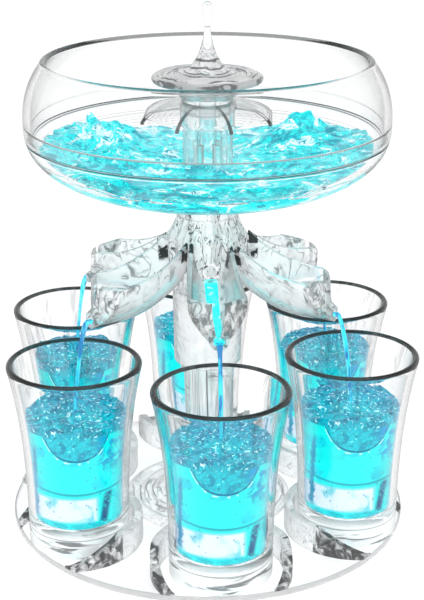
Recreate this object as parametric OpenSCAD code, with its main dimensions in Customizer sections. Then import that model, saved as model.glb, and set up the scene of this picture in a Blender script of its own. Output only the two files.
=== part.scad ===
// Party shot dispenser: a clear bowl on a column fills a ring of shot glasses
// through open spouts when the knob in the middle of the bowl is lifted.
// Millimetres, +Z up. The origin is the centre of the tray's underside,
// and the first glass stands at the front, towards -Y.

/* [Tray] */
// Radius of the round tray
tray_r = 74; // [70:0.5:80]
// Thickness of the tray
tray_t = 3; // [2:0.5:5]
// Bevel under the tray's edge
tray_bevel = 1.2; // [0.4:0.1:1.5]

/* [Shot glasses] */
// Radius of the circle that the glasses stand on
glass_ring_r = 56.5; // [56:0.5:60]
// Height of a glass
glass_h = 68.8; // [60:0.2:70]
// Outer radius at the foot of a glass
glass_foot_r = 18.1; // [16:0.1:19]
// Outer radius at the rim of a glass
glass_rim_r = 24; // [20:0.5:25]
// Wall thickness of a glass
glass_wall = 2; // [1.4:0.1:2.6]
// Thickness of the heavy glass floor
glass_floor = 10; // [4:0.5:14]
// How late the side of a glass flares: 1 is a plain cone
glass_flare = 2.8; // [1:0.1:4]
// Radius of the bead round the foot of a glass
glass_foot_bead = 1.5; // [0.5:0.1:2.5]

/* [Cradles] */
// Gap between the back of a glass's foot and its cradle
cradle_gap = 1.5; // [0.8:0.1:2.5]
// Inner radius of a cradle
cradle_bore_r = 21.6; // [20.8:0.1:23]
// Wall thickness of a cradle
cradle_wall = 3.1; // [1.6:0.1:3.6]
// Height of a cradle at its back
cradle_h = 10.5; // [6:0.5:14]
// Height of a cradle at its two outer ends
cradle_end_h = 1.2; // [0.8:0.1:1.6]

/* [Foot and column] */
// Radius of the rippled foot
foot_r = 31; // [22:0.5:32]
// Thickness of the foot at its edge
foot_edge_t = 2; // [1:0.2:3]
// Height of the foot against the column
foot_h = 9; // [5:0.5:14]
// Number of ripples on the foot
foot_ripples = 4; // [2:1:6]
// Height of a ripple on the foot
foot_ripple_h = 1; // [0.4:0.1:1.2]
// Outer radius of the column
column_r = 10; // [9:0.1:10.5]
// Wall thickness of the column
column_wall = 2; // [1.2:0.1:3]
// Radius of the peg under the column, which fits the tray
column_peg_r = 7; // [4:0.5:8]
// Thickness of the cross webs inside the column
column_web_t = 1.6; // [1:0.1:2.4]
// Height of the column's top above the tray
column_h = 85; // [80:0.5:88]

/* [Hub] */
// How far the hub's sleeve reaches down over the column
sleeve_len = 28; // [16:0.5:36]
// Wall thickness of the hub's sleeve
sleeve_wall = 2.3; // [1.6:0.1:3]
// Distance from the axis to each of the hub's six flats
hub_flat_r = 13.6; // [13:0.1:15]
// Height of the hub above the column's top
hub_h = 34; // [32:0.5:35]
// Thickness of the hub's floor above the column
hub_floor_t = 8; // [6:0.5:9]
// Radius of the chamber inside the hub
chamber_r = 8.6; // [8.4:0.1:9.5]
// Outer radius of the collar at the hub's top
hub_collar_r = 11.6; // [11:0.1:13]
// Height of the collar at the hub's top
hub_collar_h = 6; // [4:0.1:7]
// Width of each outlet port
port_w = 4; // [2:0.5:6]
// Height of each outlet port
port_h = 4.5; // [3:0.5:6]
// Width of the tongue that holds a spout in the hub
tongue_w = 6; // [4:0.5:8]
// Height of the tongue
tongue_h = 2; // [1:0.5:2.5]
// How deep the tongue goes into the hub
tongue_depth = 2; // [1:0.5:3]
// Height of the shoulder and collar above the hub's flats
shoulder_h = 13.3; // [11:0.1:14]
// Thickness of the silicone ring between hub and bowl
ring_seal_t = 1; // [0.5:0.1:2]

/* [Spouts] */
// Distance from the axis to the outside of a spout's end wall
spout_reach = 47; // [42:0.5:48]
// How far the pouring lip stands out of the end wall
lip_len = 2.8; // [1:0.2:4]
// Wall thickness of a spout
spout_wall = 1.5; // [1:0.1:2]
// Half the width of a spout at the hub
spout_root_w = 7.5; // [6:0.1:7.6]
// Half the width of a spout at its end
spout_end_w = 10.2; // [8:0.1:11]
// Fall of a spout's keel from the hub to the end
spout_fall = 9.6; // [6:0.2:12]
// Fall of a spout's top edge from the hub to the end
spout_rim_fall = 10.5; // [7:0.1:12]
// Depth of a spout at the hub
spout_root_depth = 16.5; // [14:0.5:17]
// How far the end wall bows outwards
spout_bow = 4; // [0:0.2:5]
// Half the width of the pouring lip
lip_w = 3.6; // [2.8:0.1:4.5]
// Height of the pouring lip
lip_h = 6.2; // [4:0.2:8]

/* [Bowl] */
// Largest outer radius of the bowl
bowl_r = 64.4; // [58:0.2:70]
// Height of the widest place above the bowl's underside
bowl_belly_h = 27; // [25:0.5:32]
// Height of the rim above the widest place
bowl_shoulder_h = 21.8; // [18:0.2:24]
// Outer radius of the rim
bowl_rim_r = 57; // [50:0.5:60]
// Wall thickness of the bowl
bowl_wall = 2.5; // [2:0.1:3.5]
// Thickness of the bowl's floor
bowl_floor_t = 3; // [2:0.1:4]
// Radius of the flat under the bowl, which sits on the hub
bowl_seat_r = 14; // [12:0.5:20]
// Radius of the flat inside the bowl, which the valve tube stands on
bowl_flat_r = 12; // [11.5:0.5:18]
// Squareness of the bowl's side: 2 is an ellipse
bowl_square = 2.4; // [2:0.05:2.6]
// Depth of the seam below the widest place
seam_drop = 5; // [2:0.2:8]
// Height of the tongue inside the seam
seam_lap = 5; // [3:0.5:8]
// Radius of the drain in the bowl's floor
drain_r = 5.5; // [4:0.1:6]
// Outer radius of the neck under the drain
neck_r = 8; // [7.5:0.1:8.2]
// Length of the neck under the bowl
neck_len = 8; // [4:0.5:9]

/* [Valve] */
// Outer radius of the valve tube
tube_r = 9.6; // [9.2:0.1:11]
// Wall thickness of the valve tube
tube_wall = 1.6; // [1:0.1:1.8]
// Height of the valve tube
tube_h = 29; // [26:0.5:33]
// Width of the windows in the valve tube
window_w = 9; // [5:0.5:10]
// Height of the windows in the valve tube
window_h = 20; // [12:0.5:22]
// Lift of the knob from shut to open
lift = 10; // [6:0.5:10]
// Radius of the rod
rod_r = 2.9; // [2:0.1:3.2]
// Radius of the rod's four fins
fin_r = 6.6; // [5:0.1:7]
// Thickness of the fins
fin_t = 1.4; // [1:0.1:2]
// Height of the stopper seal above the bowl's floor
stopper_t = 2.5; // [1.5:0.1:4]
// Height of the guide collar
collar_h = 3.6; // [2.5:0.1:5]
// Outer radius of the guide collar at its top
collar_r = 10.4; // [9.6:0.1:12]

/* [Splash guard] */
// Distance from the axis to the guard's straight lower edges
guard_r = 22.8; // [18:0.2:28]
// Height of the guard from its lower edge to its top
guard_h = 6.2; // [5:0.2:10]
// Thickness of the guard
guard_t = 1.2; // [0.8:0.1:2]
// Turn of the guard's panels round the tube
guard_turn = -7.5; // [-22.5:0.5:22.5]

/* [Knob] */
// Radius of the knob's rippled disc
knob_r = 19.5; // [15:0.5:22]
// Thickness of the disc at its edge
knob_t = 2.8; // [2:0.1:4]
// Gap between the guide collar and the knob when shut
knob_gap = 3.6; // [2:0.1:6]
// Height of the knob's cone above the disc
knob_cone_h = 7.6; // [5:0.2:10]
// Radius of the cone at its top
knob_neck_r = 2.9; // [2.6:0.1:3.6]
// Number of ripples on the disc
knob_ripples = 4; // [2:1:6]
// Height of a ripple on the disc
knob_ripple_h = 0.7; // [0.3:0.1:1]
// Height of the finial above the cone
finial_h = 17.4; // [12:0.2:22]
// Radius of the drop at the finial's top
drop_r = 1.7; // [1.4:0.1:2.6]
// Radius of the peg under the finial
finial_peg_r = 1.5; // [1:0.1:1.8]

/* [Fits] */
// Clearance round a peg, a tongue or a plug that is cemented in
glue_gap = 0.1; // [0.05:0.05:0.2]
// Radial clearance of the rod in its guide
rod_clearance = 0.06; // [0.02:0.01:0.1]
// Radial clearance of the stopper's nose in the drain
nose_clearance = 0.4; // [0.2:0.1:0.8]

/* [Hidden] */
station_count = 6;
stations = [1 : station_count];

$fn = 96;
profile_steps = 20;
eps = 0.01;
through = 200;

// Levels above the tray's underside
column_top_z = tray_t + column_h;
hub_top_z = column_top_z + hub_h;
bowl_z = hub_top_z + ring_seal_t;
bowl_floor_z = bowl_z + bowl_floor_t;
belly_z = bowl_z + bowl_belly_h;
seam_z = belly_z - seam_drop;
rim_z = belly_z + bowl_shoulder_h;
tube_top_z = bowl_floor_z + tube_h;
guard_top_z = tube_top_z + guard_t;
guard_edge_z = guard_top_z - guard_h;
collar_top_z = guard_top_z + collar_h;
knob_z = collar_top_z + knob_gap;
knob_top_z = knob_z + knob_t;
cone_top_z = knob_top_z + knob_cone_h;
chamber_z = column_top_z + hub_floor_t;
neck_end_z = bowl_z - neck_len;
spout_root_z = hub_top_z - shoulder_h - spout_root_depth;

// Angle of a station: the first is at the front
function station_angle(k) = -90 + (k - 1) * 360 / station_count;

// Places a piece that is drawn along +X at station k
module at_station(k) {
    rotate([0, 0, station_angle(k)]) children();
}

// Half-round edge: points of an arc about [x, z] from angle a to angle b
function arc(x, z, r, a, b, n = 8) =
    [for (i = [0 : n]) let (t = a + (b - a) * i / n) [x + r * cos(t), z + r * sin(t)]];

// ---- Tray and cradles ----

module base_tray() {
    color("whitesmoke", 0.5) difference() {
        rotate_extrude() polygon([
            [0, 0], [tray_r - tray_bevel, 0], [tray_r, tray_bevel],
            [tray_r, tray_t], [0, tray_t]]);
        translate([0, 0, -1]) cylinder(r = column_peg_r + glue_gap, h = tray_t + 2);
    }
}

// The cradle's circle lies a little further out than the glass it holds
cradle_ring_r = glass_ring_r - glass_foot_r - cradle_gap + cradle_bore_r;
cradle_r = cradle_bore_r + cradle_wall;
// Where the tray's edge cuts the cradle's outer circle, from the cradle's centre
cradle_end_x = (tray_r * tray_r - cradle_ring_r * cradle_ring_r - cradle_r * cradle_r)
    / (2 * cradle_ring_r);
// Where the sloping top reaches the cradle's full height
cradle_high_x = -0.2 * cradle_r;
cradle_slope = atan2(cradle_h - cradle_end_h, cradle_end_x - cradle_high_x);

module cup_cradle(k) {
    color("whitesmoke", 0.5) at_station(k) intersection() {
        translate([cradle_ring_r, 0, tray_t]) difference() {
            cylinder(r = cradle_r, h = cradle_h);
            translate([0, 0, -1]) cylinder(r = cradle_bore_r, h = cradle_h + 2);
            // The top falls away to the two ends
            translate([cradle_end_x, 0, cradle_end_h]) rotate([0, cradle_slope, 0])
                translate([-through / 2, -through / 2, 0]) cube([through, through, through]);
        }
        translate([0, 0, tray_t - 1]) cylinder(r = tray_r, h = cradle_h + 2);
    }
}

// ---- Foot and column ----

// Height of the foot above the tray: a flare with ripples that fade at the column
function foot_top(r) =
    let (t = (foot_r - r) / (foot_r - column_r), steepness = 2.2)
    foot_edge_t + (foot_h - foot_edge_t) * pow(t, steepness)
    + foot_ripple_h / 2 * (1 - t) * (1 - cos(360 * foot_ripples * t));

module ripple_foot() {
    steps = 12 * foot_ripples;
    bore_r = column_r + glue_gap;
    color("whitesmoke", 0.5) translate([0, 0, tray_t]) rotate_extrude() polygon(concat(
        [[bore_r, 0], [foot_r, 0]],
        [for (i = [0 : steps]) let (r = foot_r + (bore_r - foot_r) * i / steps) [r, foot_top(r)]]));
}

module support_column() {
    web_low_z = tray_t + column_wall / 2;
    web_high_z = column_top_z - 4;
    peg_recess = 0.4;
    color("whitesmoke", 0.5) {
        translate([0, 0, tray_t]) difference() {
            cylinder(r = column_r, h = column_h);
            translate([0, 0, column_wall])
                cylinder(r = column_r - column_wall, h = column_h);
        }
        // Cross webs inside the tube
        for (a = [0, 90]) rotate([0, 0, a])
            translate([-(column_r - column_wall / 2), -column_web_t / 2, web_low_z])
                cube([2 * column_r - column_wall, column_web_t, web_high_z - web_low_z]);
        // Peg in the tray
        translate([0, 0, peg_recess]) cylinder(r = column_peg_r, h = tray_t);
    }
}

// ---- Hub ----

sleeve_r = column_r + glue_gap + sleeve_wall;
sleeve_end_z = column_top_z - sleeve_len;
hex_r = hub_flat_r / cos(180 / station_count);
hex_margin = 2;
hex_z = spout_root_z - hex_margin;
hex_top_z = spout_root_z + spout_root_depth;
tongue_rise = 1.2;
tongue_z = spout_root_z + tongue_rise;
port_z = chamber_z - eps;

module spout_hub() {
    lip_round = 1.6;
    collar_z = hub_top_z - hub_collar_h;
    shoulder_r = hub_collar_r - 0.6;
    shoulder_foot_r = hex_r + 0.5;
    shoulder_z = hex_top_z - 3;
    shoulder_curve = 1.6;
    steps = 8;
    cone_r = 5.5;
    cone_h = 4;
    cone_tip_r = 1;
    roof_h = 1.5;
    color("whitesmoke", 0.5) difference() {
        union() {
            // Sleeve over the column, with a rounded lower lip
            rotate_extrude() polygon(concat(
                [[0, hex_z + 1], [0, sleeve_end_z], [sleeve_r - lip_round, sleeve_end_z]],
                arc(sleeve_r - lip_round, sleeve_end_z + lip_round, lip_round, -90, 0),
                [[sleeve_r + 0.4, hex_z + 1]]));
            // Six flats that the spouts stand against, under a hollow round shoulder
            intersection() {
                translate([0, 0, hex_z]) rotate([0, 0, station_angle(1) + 180 / station_count])
                    linear_extrude(hub_h) circle(r = hex_r, $fn = station_count);
                // Turned, so that the surface's seam keeps off the hexagon's corners
                rotate([0, 0, 90 / station_count]) rotate_extrude() polygon(concat(
                    [[0, hex_z - 1], [shoulder_foot_r, hex_z - 1]],
                    [for (i = [0 : steps]) let (t = i / steps)
                        [shoulder_r + (shoulder_foot_r - shoulder_r) * pow(1 - t, shoulder_curve),
                         shoulder_z + (collar_z - shoulder_z) * t]],
                    [[shoulder_r, collar_z + 1], [0, collar_z + 1]]));
            }
            // Collar under the bowl
            translate([0, 0, collar_z]) cylinder(r = hub_collar_r, h = hub_collar_h);
        }
        // Socket for the column
        translate([0, 0, sleeve_end_z - 1])
            cylinder(r = column_r + glue_gap, h = column_top_z - sleeve_end_z + 1);
        // Socket for the bowl's neck
        translate([0, 0, neck_end_z]) cylinder(r = neck_r + glue_gap, h = through);
        // Chamber with a cone that spreads the drink to the ports
        rotate_extrude() polygon([
            [0, chamber_z + cone_h], [cone_tip_r, chamber_z + cone_h], [cone_r, chamber_z],
            [chamber_r, chamber_z], [chamber_r, neck_end_z - roof_h],
            [neck_r, neck_end_z + eps], [0, neck_end_z + eps]]);
        for (k = stations) at_station(k) {
            translate([chamber_r - 2, -port_w / 2, port_z]) cube([hub_flat_r, port_w, port_h]);
            translate([hub_flat_r - tongue_depth - glue_gap, -tongue_w / 2 - glue_gap,
                       tongue_z - glue_gap])
                cube([hub_flat_r, tongue_w + 2 * glue_gap, tongue_h + 2 * glue_gap]);
        }
    }
}

module hub_seal() {
    color("gainsboro") translate([0, 0, hub_top_z]) difference() {
        cylinder(r = hub_collar_r - 0.3, h = ring_seal_t);
        translate([0, 0, -1]) cylinder(r = neck_r + glue_gap, h = ring_seal_t + 2);
    }
}

// ---- Spouts: open gutters shaped like petals ----

end_wall = 2 * spout_wall;
wall_x = spout_reach - end_wall;
keel_run = 0.75 * (wall_x - hub_flat_r);
rim_run = wall_x - hub_flat_r;
keel_curve = 1.8;
rim_curve = 2.4;
root_pinch = 0.8;
end_pinch = 1.5;
bow_x = 30;
bow_run = 15;
lip_fall = 0.8;
lip_step = 0.4;

// Share of a fall that is left at distance x from the axis
function fall_left(x, run, curve) = pow(max(0, 1 - (x - hub_flat_r) / run), curve);
// Share of the spout's length at distance x
function along(x) = min(1, max(0, (x - hub_flat_r) / (spout_reach - hub_flat_r)));
// Height of the keel and of the top edge, and half the width, at distance x
function keel_z(x) = spout_root_z - spout_fall * (1 - fall_left(x, keel_run, keel_curve));
function edge_z(x) = spout_root_z + spout_root_depth
    - spout_rim_fall * (1 - fall_left(x, rim_run, rim_curve));
function half_w(x) = spout_root_w + (spout_end_w - spout_root_w) * sin(90 * along(x));
// How much the cross section is pinched to a keel: 1 is round
function pinch(x) = root_pinch + (end_pinch - root_pinch) * along(x);
// How much of the bow applies at distance x
function bow_share(x) = pow(min(1, max(0, (x - bow_x) / bow_run)), 2);

side_steps = 5;
side_curve = 0.85;
// One line round the gutter from the left edge under the keel to the right edge
function gutter_line(x, w, low, high, p) =
    [for (i = [-side_steps : side_steps])
        let (a = 90 * i / side_steps,
             y = sign(i) * w * pow(abs(sin(a)), p),
             z = low + (high - low) * pow(1 - cos(a), side_curve))
        [x - spout_bow * bow_share(x) * pow(y / spout_end_w, 2), y, z]];
function reversed(v) = [for (i = [len(v) - 1 : -1 : 0]) v[i]];
// A ring is the outer line and back along the inner one
function gutter_ring(x, w, low, high, inner_w, inner_low, p) = concat(
    gutter_line(x, w, low, high, p),
    reversed(gutter_line(x, inner_w, inner_low, high, p)));

spout_steps = 9;
channel_w = lip_w - spout_wall;
lip_low = keel_z(spout_reach);
spout_rings = concat(
    [for (i = [0 : spout_steps])
        let (x = hub_flat_r + (wall_x - hub_flat_r) * i / spout_steps)
        gutter_ring(x, half_w(x), keel_z(x), edge_z(x),
                    half_w(x) - spout_wall, keel_z(x) + spout_wall, pinch(x))],
    [for (x = [wall_x + end_wall / 2, spout_reach])
        gutter_ring(x, half_w(x), keel_z(x), edge_z(x),
                    channel_w, keel_z(x) + spout_wall, pinch(x))],
    [for (x = [spout_reach + lip_step, spout_reach + lip_len])
        gutter_ring(x, lip_w, lip_low, lip_low + lip_h - lip_fall * (x - spout_reach),
                    channel_w, lip_low + spout_wall, root_pinch)]);

// Skin of a stack of rings, with strips across the U at both ends
module loft(rings) {
    n = len(rings[0]);
    last = len(rings) - 1;
    points = [for (ring = rings) for (p = ring) p];
    sides = [for (j = [0 : last - 1]) for (i = [0 : n - 1])
        let (a = j * n + i, b = j * n + (i + 1) % n)
        // The left half is the mirror image of the right half, with its diagonals too
        for (f = i >= n / 4 && i < 3 * n / 4
            ? [[b, a, a + n], [b, a + n, b + n]] : [[b, a, b + n], [a, a + n, b + n]]) f];
    strips = [for (i = [0 : n / 2 - 2])
        for (f = [[i, n - 2 - i, n - 1 - i], [i, i + 1, n - 2 - i]]) f];
    ends = [for (f = strips) for (j = [0, last])
        j == 0 ? f : [f[2] + j * n, f[1] + j * n, f[0] + j * n]];
    polyhedron(points, concat(sides, ends));
}

module spout(k) {
    color("whitesmoke", 0.5) at_station(k) {
        loft(spout_rings);
        translate([hub_flat_r - tongue_depth, -tongue_w / 2, tongue_z])
            cube([tongue_depth + spout_wall, tongue_w, tongue_h]);
    }
}

// ---- Bowl in two shells ----

// Radius of a belly of radius a and height b, at distance d from its widest place
function belly(a, b, d) = a * pow(max(0, 1 - pow(d / b, bowl_square)), 1 / bowl_square);
// Height of the full curve whose side passes through the rim
shoulder_b = bowl_shoulder_h
    / pow(1 - pow(bowl_rim_r / bowl_r, bowl_square), 1 / bowl_square);
function bowl_outer(z) = z < belly_z
    ? belly(bowl_r, bowl_belly_h, belly_z - z) : belly(bowl_r, shoulder_b, z - belly_z);
function bowl_inner(z) = z < belly_z
    ? belly(bowl_r - bowl_wall, belly_z - bowl_floor_z, belly_z - z)
    : bowl_outer(z) - bowl_wall;

seam_tongue_t = bowl_wall / 2;
crowding = 2.2;

module bowl_lower() {
    top = seam_z + seam_lap;
    color("azure", 0.5) rotate_extrude() polygon(concat(
        [[neck_r, neck_end_z], [neck_r, bowl_z], [bowl_seat_r, bowl_z]],
        [for (i = [1 : profile_steps]) let (z = level(bowl_z, seam_z, i / profile_steps))
            if (bowl_outer(z) > bowl_seat_r + 1) [bowl_outer(z), z]],
        [[bowl_inner(seam_z) + seam_tongue_t, seam_z], [bowl_inner(top) + seam_tongue_t, top],
         [bowl_inner(top), top]],
        [for (i = [profile_steps : -1 : 1])
            let (z = level(bowl_floor_z, seam_z, i / profile_steps))
            if (bowl_inner(z) > bowl_flat_r + 1) [bowl_inner(z), z]],
        [[bowl_flat_r, bowl_floor_z], [drain_r, bowl_floor_z], [drain_r, neck_end_z]]));
}

// Levels that crowd together near the floor, where the bowl is flattest
function level(low, high, t) = low + (high - low) * pow(t, crowding);

module bowl_upper() {
    lip = bowl_wall / 2;
    lip_z = rim_z - lip;
    top = seam_z + seam_lap + glue_gap;
    step_r = seam_tongue_t + glue_gap;
    steps = profile_steps;
    color("azure", 0.5) rotate_extrude() polygon(concat(
        [for (i = [0 : steps]) let (z = seam_z + (lip_z - seam_z) * i / steps)
            [bowl_outer(z), z]],
        arc(bowl_outer(lip_z) - lip, lip_z, lip, 0, 180, 8),
        [for (i = [steps : -1 : 0]) let (z = top + (lip_z - top) * i / steps)
            [bowl_outer(z) - bowl_wall, z]],
        [[bowl_inner(top) + step_r, top], [bowl_inner(seam_z) + step_r, seam_z]]));
}

// ---- Valve ----

tube_bore_r = tube_r - tube_wall;
window_count = 4;

module valve_tube() {
    sill = 2;
    color("whitesmoke", 0.5) translate([0, 0, bowl_floor_z]) difference() {
        cylinder(r = tube_r, h = tube_h);
        translate([0, 0, -1]) cylinder(r = tube_bore_r, h = tube_h + 2);
        for (i = [0 : window_count - 1]) rotate([0, 0, -90 + i * 360 / window_count])
            translate([0, -window_w / 2, sill]) cube([2 * tube_r, window_w, window_h]);
    }
}

panel_count = 8;
// Half width of the guard at height z above its lower edge
guard_peak_r = tube_r + 0.6;
guard_square = 1.7;
function guard_half(z, r, h) = guard_peak_r
    + (r - guard_peak_r) * pow(max(0, 1 - pow(z / h, guard_square)), 1 / guard_square);

// Solid dome: where the arches of all pairs of panels overlap
module panel_dome(r, h) {
    steps = 9;
    side = [for (i = [0 : steps]) let (z = h * sin(90 * i / steps)) [guard_half(z, r, h), z]];
    intersection_for (i = [0 : panel_count / 2 - 1])
        rotate([90, 0, guard_turn + i * 360 / panel_count]) translate([0, 0, -through / 2])
            linear_extrude(through) polygon(concat(
                side, reversed([for (p = side) [-p[0], p[1]]])));
}

module splash_guard() {
    color("azure", 0.5) translate([0, 0, guard_edge_z]) difference() {
        panel_dome(guard_r, guard_h);
        translate([0, 0, -guard_t]) panel_dome(guard_r - guard_t, guard_h);
        cylinder(r = tube_bore_r, h = through);
    }
}

// Length of the plug that holds the collar in the tube
collar_plug_len = 3;

module guide_collar() {
    dish_r = collar_r - 2.2;
    dish_depth = 2;
    dish_slope = 1.6;
    waist_r = tube_r - 0.9;
    guide_r = rod_r + 2;
    color("whitesmoke", 0.5) difference() {
        union() {
            translate([0, 0, guard_top_z]) cylinder(r1 = waist_r, r2 = collar_r, h = collar_h);
            translate([0, 0, guard_top_z - guard_t - collar_plug_len])
                cylinder(r = tube_bore_r - glue_gap, h = guard_t + collar_plug_len + 1);
        }
        cylinder(r = rod_r + rod_clearance, h = through * 2);
        translate([0, 0, collar_top_z - dish_depth]) difference() {
            cylinder(r1 = dish_r - dish_slope, r2 = dish_r, h = dish_depth + eps);
            translate([0, 0, -1]) cylinder(r = guide_r, h = dish_depth + 2);
        }
    }
}

stopper_gap = 0.8;
stopper_r = tube_bore_r - stopper_gap;
rod_foot_z = bowl_floor_z + stopper_t;
rod_peg_r = 1.8;
rod_peg_h = 1.4;
fin_gap = 0.5;
fin_top_z = tube_top_z - collar_plug_len - lift - fin_gap;
rod_in_cone = 2;
rod_top_z = knob_top_z + rod_in_cone;

module stopper_rod() {
    foot_t = 1.6;
    color("whitesmoke", 0.5) {
        translate([0, 0, rod_foot_z]) cylinder(r = rod_r, h = rod_top_z - rod_foot_z);
        translate([0, 0, rod_foot_z]) cylinder(r = fin_r, h = foot_t);
        translate([0, 0, rod_foot_z - rod_peg_h]) cylinder(r = rod_peg_r, h = rod_peg_h + 1);
        for (a = [45, 135]) rotate([0, 0, a]) translate([-fin_r, -fin_t / 2, rod_foot_z + 1])
            cube([2 * fin_r, fin_t, fin_top_z - rod_foot_z - 1]);
    }
}

module stopper_seal() {
    nose_r = drain_r - nose_clearance;
    nose_z = bowl_floor_z - 2.4;
    nose_bevel = 1.2;
    edge_bevel = 0.6;
    color("gainsboro") difference() {
        rotate_extrude() polygon([
            [0, nose_z], [nose_r - nose_bevel, nose_z],
            [nose_r, nose_z + nose_bevel], [nose_r, bowl_floor_z],
            [stopper_r, bowl_floor_z], [stopper_r, rod_foot_z - edge_bevel],
            [stopper_r - edge_bevel, rod_foot_z], [0, rod_foot_z]]);
        translate([0, 0, rod_foot_z - rod_peg_h - glue_gap])
            cylinder(r = rod_peg_r + glue_gap, h = stopper_t);
    }
}

// ---- Knob ----

finial_peg_len = 4;
knob_edge_r = knob_r - knob_t / 2;
ripple_in_r = 8.5;
cone_foot_r = 11;
cone_curve = 2.6;

// Top of the knob at radius r: ripples on the disc, then a hollow cone
function knob_top(r) =
    let (t = min(1, max(0, (knob_edge_r - r) / (knob_edge_r - ripple_in_r))),
         c = min(1, max(0, (cone_foot_r - r) / (cone_foot_r - knob_neck_r))))
    knob_top_z + knob_ripple_h / 2 * (1 - cos(360 * knob_ripples * t)) * (1 - t / 2)
    + knob_cone_h * (c / 4 + 3 / 4 * pow(c, cone_curve));

module ripple_knob() {
    steps = 12 * knob_ripples;
    color("whitesmoke", 0.5) difference() {
        rotate_extrude() polygon(concat(
            [[0, knob_z], [knob_edge_r, knob_z]],
            arc(knob_edge_r, knob_z + knob_t / 2, knob_t / 2, -60, 60, 6),
            [for (i = [0 : steps])
                let (r = knob_edge_r + (knob_neck_r - knob_edge_r) * i / steps) [r, knob_top(r)]],
            [[0, cone_top_z]]));
        translate([0, 0, knob_z - 1])
            cylinder(r = rod_r + glue_gap, h = rod_top_z + glue_gap - knob_z + 1);
        translate([0, 0, cone_top_z - finial_peg_len - glue_gap])
            cylinder(r = finial_peg_r + glue_gap, h = through);
    }
}

waist_share = 0.62;
waist_at = 0.55;
swell_run = 0.2;
// Radius of the finial at share t of its height: a stem, a waist and a long drop
function finial_r(t) = t < waist_at
    ? knob_neck_r + (waist_share * drop_r - knob_neck_r) * sin(90 * t / waist_at)
    : drop_r * (waist_share + (1 - waist_share) * sin(90 * min(1, (t - waist_at) / swell_run)));

module droplet_finial() {
    steps = 16;
    body_h = finial_h - drop_r;
    color("whitesmoke", 0.5) {
        rotate_extrude() polygon(concat(
            [[0, cone_top_z]],
            [for (i = [0 : steps]) let (t = i / steps)
                [finial_r(t * body_h / finial_h), cone_top_z + body_h * t]],
            arc(0, cone_top_z + body_h, drop_r, 0, 90, 6)));
        translate([0, 0, cone_top_z - finial_peg_len])
            cylinder(r = finial_peg_r, h = finial_peg_len + 1);
    }
}

// ---- Shot glasses ----

function glass_outer(h) =
    glass_foot_r + (glass_rim_r - glass_foot_r) * pow(h / glass_h, glass_flare);

module shot_glass(k) {
    lip = glass_wall / 2;
    round = 2.5;
    steps = 14;
    floor_r = glass_outer(glass_floor) - glass_wall;
    color("lightcyan", 0.5) at_station(k) translate([glass_ring_r, 0, tray_t])
        rotate_extrude() polygon(concat(
            [[0, 0]],
            arc(glass_foot_r - glass_foot_bead, glass_foot_bead, glass_foot_bead, -90, 0, 5),
            [for (i = [1 : steps]) let (h = glass_foot_bead
                + (glass_h - lip - glass_foot_bead) * i / steps) [glass_outer(h), h]],
            arc(glass_outer(glass_h - lip) - lip, glass_h - lip, lip, 30, 150, 4),
            [for (i = [steps : -1 : 0]) let (h = glass_floor + round
                + (glass_h - lip - glass_floor - round) * i / steps)
                [glass_outer(h) - glass_wall, h]],
            arc(floor_r - round, glass_floor + round, round, 0, -90, 5),
            [[0, glass_floor]]));
}

base_tray();
ripple_foot();
support_column();
spout_hub();
hub_seal();
bowl_lower();
bowl_upper();
valve_tube();
splash_guard();
guide_collar();
stopper_rod();
stopper_seal();
ripple_knob();
droplet_finial();
for (k = stations) {
    cup_cradle(k);
    spout(k);
    shot_glass(k);
}
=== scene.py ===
"""Looks of the party shot dispenser: clear acrylic, pressed glasses and a bright blue drink."""
import math
import random

import bmesh
import bpy
from mathutils import Matrix, Vector, noise


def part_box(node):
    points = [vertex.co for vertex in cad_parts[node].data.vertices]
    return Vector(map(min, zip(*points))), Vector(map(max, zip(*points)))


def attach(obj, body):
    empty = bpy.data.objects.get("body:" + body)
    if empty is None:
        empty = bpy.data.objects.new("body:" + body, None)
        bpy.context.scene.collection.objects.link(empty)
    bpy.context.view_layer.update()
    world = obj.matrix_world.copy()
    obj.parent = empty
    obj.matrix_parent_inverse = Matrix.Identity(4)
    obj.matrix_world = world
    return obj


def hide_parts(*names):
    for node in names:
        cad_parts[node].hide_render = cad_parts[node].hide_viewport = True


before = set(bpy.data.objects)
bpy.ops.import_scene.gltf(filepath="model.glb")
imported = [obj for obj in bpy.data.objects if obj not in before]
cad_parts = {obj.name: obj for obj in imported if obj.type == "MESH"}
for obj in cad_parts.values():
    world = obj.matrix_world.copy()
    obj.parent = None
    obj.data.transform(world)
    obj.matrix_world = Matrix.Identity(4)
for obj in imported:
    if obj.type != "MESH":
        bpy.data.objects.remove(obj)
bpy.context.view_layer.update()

# ---- Sizes in millimetres, as the frame's solids have them ----

MM = 0.001
AROUND = 144
STATIONS = range(1, 7)


def lowest(node):
    """Lowest corner of a node of the frame, in millimetres."""
    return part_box(node)[0] / MM


def highest(node):
    """Highest corner of a node of the frame, in millimetres."""
    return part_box(node)[1] / MM


def station_angle(k):
    """Angle of a station round the column: the first is at the front."""
    return math.radians(-90 + (k - 1) * 60)


tray_r = -lowest("base_tray").x
tray_t = highest("base_tray").z
tray_bevel = 1.2
peg_r = 7.0
glue_gap = 0.1

glass_low, glass_high = lowest("shot_glass_1"), highest("shot_glass_1")
glass_ring_r = -(glass_low.y + glass_high.y) / 2
glass_h = glass_high.z - glass_low.z
glass_foot_r = 18.1
glass_rim_r = 23.98
glass_wall = 2.4
glass_floor = 10.0
glass_flare = 2.8
glass_bead = 1.5
glass_groove_h = glass_floor - 2.2
glass_floor_z = tray_t + glass_floor

cradle_bore_r = 21.6
cradle_r = cradle_bore_r + 3.1
cradle_ring_r = glass_ring_r - glass_foot_r - 1.5 + cradle_bore_r
cradle_h = highest("cup_cradle_1").z - tray_t
cradle_end_h = 1.2

foot_r = highest("ripple_foot").x
foot_edge_t = 2.0
foot_h = 9.0
foot_ripples = 4

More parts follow.
